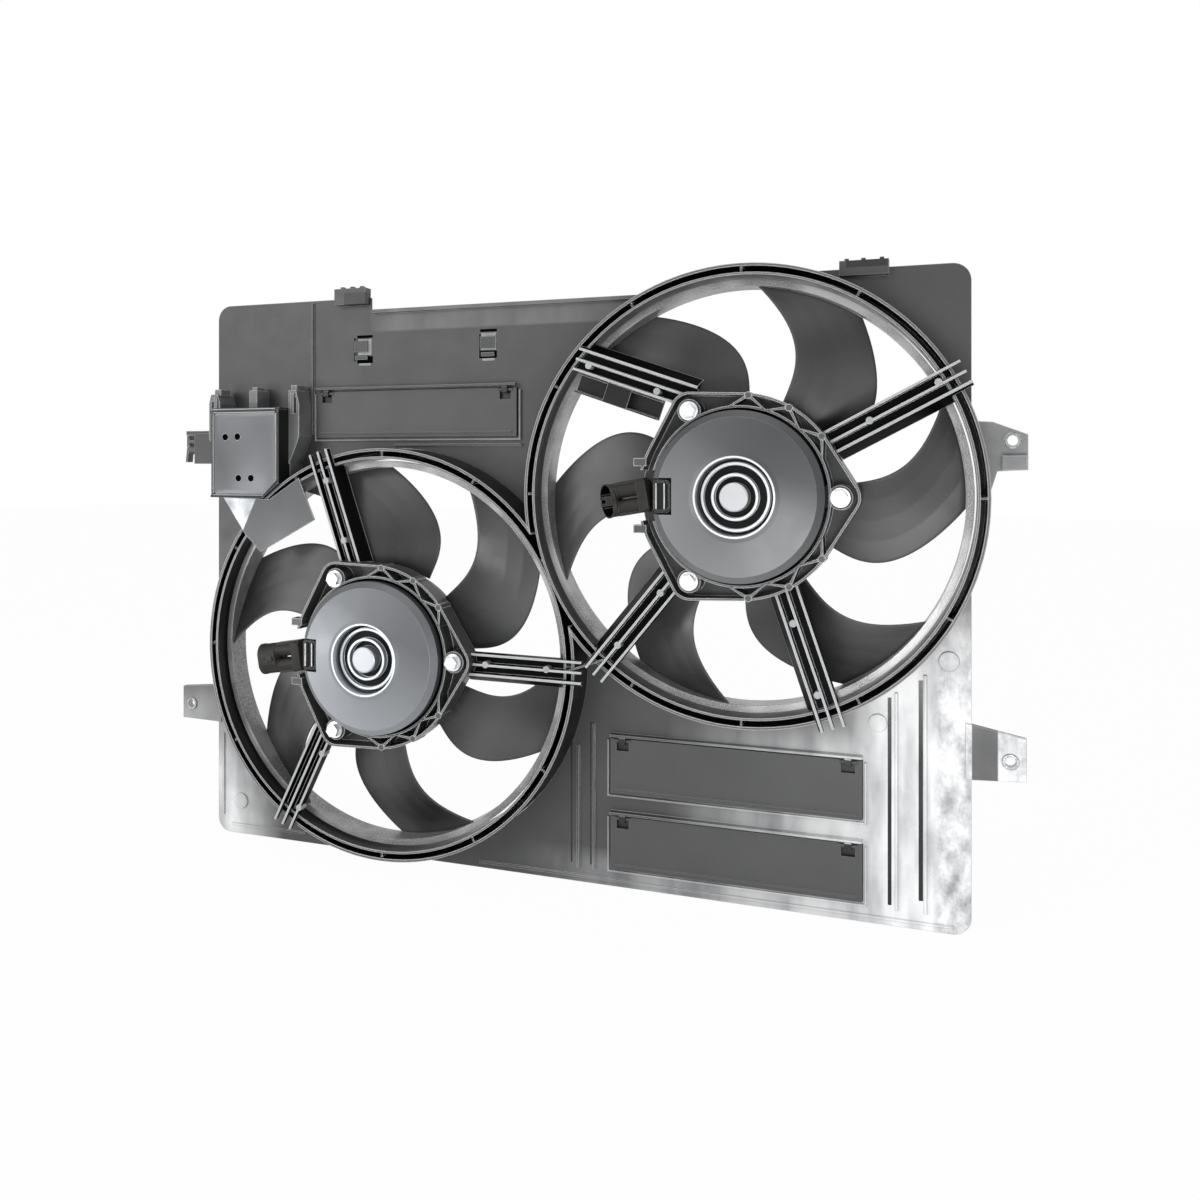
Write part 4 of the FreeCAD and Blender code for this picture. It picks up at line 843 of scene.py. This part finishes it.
cover = [
    (COVER_LEFT + COVER_CORNER, COVER_BOTTOM),
    (COVER_RIGHT - COVER_CUT, COVER_BOTTOM),
    (COVER_RIGHT, COVER_BOTTOM + COVER_CUT),
    (COVER_RIGHT, COVER_TOP - COVER_CORNER),
    (COVER_RIGHT - COVER_CORNER, COVER_TOP),
    (COVER_LEFT + COVER_CORNER, COVER_TOP),
    (COVER_LEFT, COVER_TOP - COVER_CORNER),
    (COVER_LEFT, COVER_BOTTOM + COVER_CORNER),
]
piece("module_cover", plate(cover, COVER_STEPS), module_grey, "shroud")
rims = [stud(across, along, COVER_FACE, **HOLE_RIM) for across, along in COVER_HOLES]
piece("module_hole_rims", join(rims), module_grey, "shroud")
# dark discs of painted shade inside the holes
hole_shade_discs = [stud(across, along, COVER_FACE, **HOLE_SHADE_DISC) for across, along in COVER_HOLES]
piece("module_hole_shades", join(hole_shade_discs), hole_shade, "shroud")

# Frame and lips round the cover: start, end, lowest and highest depth, and width of each bar

FRAME_BARS = (
    ((-0.3043, 0.0677), (-0.2497, 0.0677), 0.0213, 0.0380, 0.0020),
    ((-0.2347, 0.0792), (-0.2347, 0.1433), 0.0213, 0.0380, 0.0020),
    ((-0.2500, 0.0677), (-0.2347, 0.0797), 0.0355, 0.0380, 0.0020),
    ((-0.3033, 0.0677), (-0.3033, 0.1420), 0.0213, 0.0372, 0.0016),
    ((-0.3050, 0.1419), (-0.2340, 0.1419), 0.0213, 0.0385, 0.0016),
    ((-0.3040, 0.1442), (-0.2345, 0.1442), 0.0213, 0.0360, 0.0014),
)
LIP_BARS = (
    ((-0.3015, 0.1436), (-0.2372, 0.1436), 0.0360, 0.0386, 0.0009),
    ((-0.3010, 0.1408), (-0.2372, 0.1408), 0.0370, 0.0386, 0.0009),
    ((-0.2362, 0.0830), (-0.2362, 0.1400), 0.0366, 0.0384, 0.0008),
    ((-0.3010, 0.0690), (-0.2492, 0.0690), 0.0366, 0.0384, 0.0008),
    ((-0.3012, 0.0700), (-0.3012, 0.1400), 0.0366, 0.0384, 0.0008),
)
piece("module_frame", join([bar(*row) for row in FRAME_BARS]), frame_black, "shroud")
piece("module_lips", join([bar(*row) for row in LIP_BARS]), tongue_grey, "shroud")

# Catches on the holder's ears and post: left, right, bottom, top, lowest and highest depth

CATCHES = (
    (-0.3118, -0.3050, 0.1570, 0.1625, 0.0100, 0.0230),
    (-0.3100, -0.3066, 0.1370, 0.1560, 0.0240, 0.0262),
    (-0.2326, -0.2266, 0.1590, 0.1648, 0.0080, 0.0215),
    (-0.2312, -0.2280, 0.1390, 0.1580, 0.0220, 0.0242),
    (-0.2745, -0.2695, 0.1600, 0.1640, 0.0080, 0.0190),
)
piece("holder_catches", join([block(*row) for row in CATCHES]), holder_black, "shroud")

# Upper left lug: a ribbed block with a round pin and an arm that ends in a hook

HEEL = ((-0.3440, 0.1222), (-0.3440, 0.1130), (-0.3395, 0.1035), (-0.3330, 0.0985), (-0.3230, 0.0975),
        (-0.3230, 0.1222))
HEEL_CHAMFER = 0.0006


def across_pin(left, right, depth, along, radius):
    """A round pin that lies along X."""
    return loft([[(across, y - depth, along + z) for y, z in oval(radius, radius, radius, PIN_POINTS)]
                 for across in (left, right)])


lug_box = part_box("lug_left_upper")
near, far = -lug_box[1][1], -lug_box[0][1]
hook = [
    plate(HEEL, ((near, 0.0), (far - HEEL_CHAMFER, 0.0), (far, HEEL_CHAMFER))),
    block(-0.3550, -0.3230, 0.1222, 0.1262, near, far),
    bar((-0.3536, 0.1240), (-0.3536, 0.1110), near, far - 0.0010, width=0.0026),
    bar((-0.3536, 0.1120), (-0.3552, 0.0975), near, far - 0.0010, width=0.0022),
    bar((-0.3540, 0.1166), (-0.3436, 0.1166), near, far - 0.0020, width=0.0020),
    across_pin(-0.3530, -0.3430, depth=(near + far) / 2, along=0.1090, radius=0.0042),
]
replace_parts(piece("left_hook_lug", join(hook), hook_black, "shroud"), "lug_left_upper")

# Tongues of the two latch recesses, with a bar below, and dark slots of painted shade above and below each

LATCH_PLACES = ((-0.1696, 0.1985), (-0.0524, 0.1990))
TONGUE_DEPTHS = (0.0012, 0.0034)
SLOT_SHADE_DEPTHS = (0.0028, 0.0032)
# half width, lower and upper end from the latch's middle, and inset of the face
TONGUE_PARTS = ((0.0068, -0.0082, 0.0062, 0.0016), (0.0058, -0.0170, -0.0152, 0.0004))
SLOT_SHADE_PARTS = ((0.0078, -0.0150, -0.0090, 0.0002), (0.0078, 0.0070, 0.0092, 0.0002))


def latch_parts(rows, depths):
    """The same blocks at both latches."""
    blocks = []
    for across, along in LATCH_PLACES:
        for half_wide, lower, upper, inset in rows:
            blocks.append(block(across - half_wide, across + half_wide, along + lower, along + upper,
                                *depths, inset))
    return join(blocks)


piece("latch_tongues", latch_parts(TONGUE_PARTS, TONGUE_DEPTHS), tongue_grey, "shroud")
# painted shade in the slots above and below each tongue
piece("latch_slot_shades", latch_parts(SLOT_SHADE_PARTS, SLOT_SHADE_DEPTHS), hole_shade, "shroud")

# Camera: level, turned to the left, framed as in the photograph

PHOTO_PIXELS = 1200.0
PHOTO_MIDDLE = PHOTO_PIXELS / 2
FOCAL_PIXELS = 1038.69
OPTICAL_MIDDLE = (576.055, 461.877)
SENSOR = 36.0
CAMERA_PLACE = (0.304202, -0.792653, 0.097748)
CAMERA_TURN = 0.34

camera_data = bpy.data.cameras.new("camera")
camera = bpy.data.objects.new("camera", camera_data)
scene.collection.objects.link(camera)
camera_data.sensor_fit = "HORIZONTAL"
camera_data.sensor_width = SENSOR
camera_data.lens = FOCAL_PIXELS * SENSOR / PHOTO_PIXELS
camera_data.shift_x = (PHOTO_MIDDLE - OPTICAL_MIDDLE[0]) / PHOTO_PIXELS
camera_data.shift_y = (OPTICAL_MIDDLE[1] - PHOTO_MIDDLE) / PHOTO_PIXELS
camera_data.clip_start = 0.02
camera.location = CAMERA_PLACE
camera.rotation_euler = (math.pi / 2, 0, CAMERA_TURN)
scene.camera = camera

# Floor and world: white where they are seen straight, mirrored or through glass, with a faint shadow

WHITE = (1, 1, 1, 1)
SEEN_RAYS = ("Is Camera Ray", "Is Glossy Ray", "Is Transmission Ray")
FLOOR_HALF = 6.0
FLOOR_GAP = 0.0005
FLOOR_WHITE_SHARE = 0.975
SKY_STRENGTH = 0.45


def seen_rays(tree):
    """1 for the rays that show the background."""
    path = tree.nodes.new("ShaderNodeLightPath")
    total = path.outputs[SEEN_RAYS[0]]
    for name in SEEN_RAYS[1:]:
        larger = tree.nodes.new("ShaderNodeMath")
        larger.operation = "MAXIMUM"
        tree.links.new(total, larger.inputs[0])
        tree.links.new(path.outputs[name], larger.inputs[1])
        total = larger.outputs[0]
    return total


def pale_floor():
    """A pale matt floor that keeps a small share of its shadow."""
    made = Shader("floor_pale")
    tint = made.noise(size=0.4, detail=2.0)
    made.colour(made.ramp(tint, [(0.0, grey(236)), (1.0, grey(240))]))
    made.fixed(Roughness=0.9, Specular_IOR_Level=0.1)
    glow = made.node("ShaderNodeEmission")
    glow.inputs["Color"].default_value = WHITE
    glow.inputs["Strength"].default_value = 1.0
    blend = made.node("ShaderNodeMixShader")
    made.link(made.times(seen_rays(made.tree), FLOOR_WHITE_SHARE), blend.inputs[0])
    made.link(made.surface.outputs[0], blend.inputs[1])
    made.link(glow.outputs[0], blend.inputs[2])
    made.link(blend.outputs[0], made.tree.nodes["Material Output"].inputs["Surface"])
    return made.material


level = FLOOR_LEVEL - FLOOR_GAP
floor_corners = [(x * FLOOR_HALF, y * FLOOR_HALF, level) for x, y in ((-1, -1), (1, -1), (1, 1), (-1, 1))]
floor_mesh = bpy.data.meshes.new("floor")
floor_mesh.from_pydata(floor_corners, [], [(0, 1, 2, 3)])
floor = bpy.data.objects.new("floor", floor_mesh)
scene.collection.objects.link(floor)
floor_mesh.materials.append(pale_floor())


def background(tree, strength):
    """A plain white background node."""
    made = tree.nodes.new("ShaderNodeBackground")
    made.inputs["Color"].default_value = WHITE
    made.inputs["Strength"].default_value = strength
    return made.outputs[0]


world = bpy.data.worlds.new("studio")
scene.world = world
world.use_nodes = True
sky = world.node_tree
for old in list(sky.nodes):
    sky.nodes.remove(old)
sky_mix = sky.nodes.new("ShaderNodeMixShader")
sky_out = sky.nodes.new("ShaderNodeOutputWorld")
sky.links.new(seen_rays(sky), sky_mix.inputs[0])
sky.links.new(background(sky, SKY_STRENGTH), sky_mix.inputs[1])
sky.links.new(background(sky, 1.0), sky_mix.inputs[2])
sky.links.new(sky_mix.outputs[0], sky_out.inputs["Surface"])


def softbox(name, place, target, width, height, power):
    """A soft area lamp that points at a place on the part."""
    data = bpy.data.lights.new(name, "AREA")
    data.shape = "RECTANGLE"
    data.size = width
    data.size_y = height
    data.energy = power
    lamp = bpy.data.objects.new(name, data)
    lamp.location = place
    lamp.rotation_euler = (Vector(target) - Vector(place)).to_track_quat("-Z", "Y").to_euler()
    lamp.visible_camera = False
    scene.collection.objects.link(lamp)


softbox("key_left", place=(-1.1, -1.5, 0.7), target=(0, 0, 0), width=1.2, height=0.9, power=9)
softbox("top", place=(0.1, -0.7, 1.5), target=(0, 0, 0), width=1.6, height=0.8, power=5)
softbox("low_right", place=(0.34, -0.8, -0.15), target=(0.30, 0, -0.17), width=0.40, height=0.16, power=2.5)
softbox("low_left", place=(-0.80, -0.75, -0.12), target=(-0.28, 0, -0.19), width=0.30, height=0.16, power=2)

scene.view_settings.view_transform = "Standard"
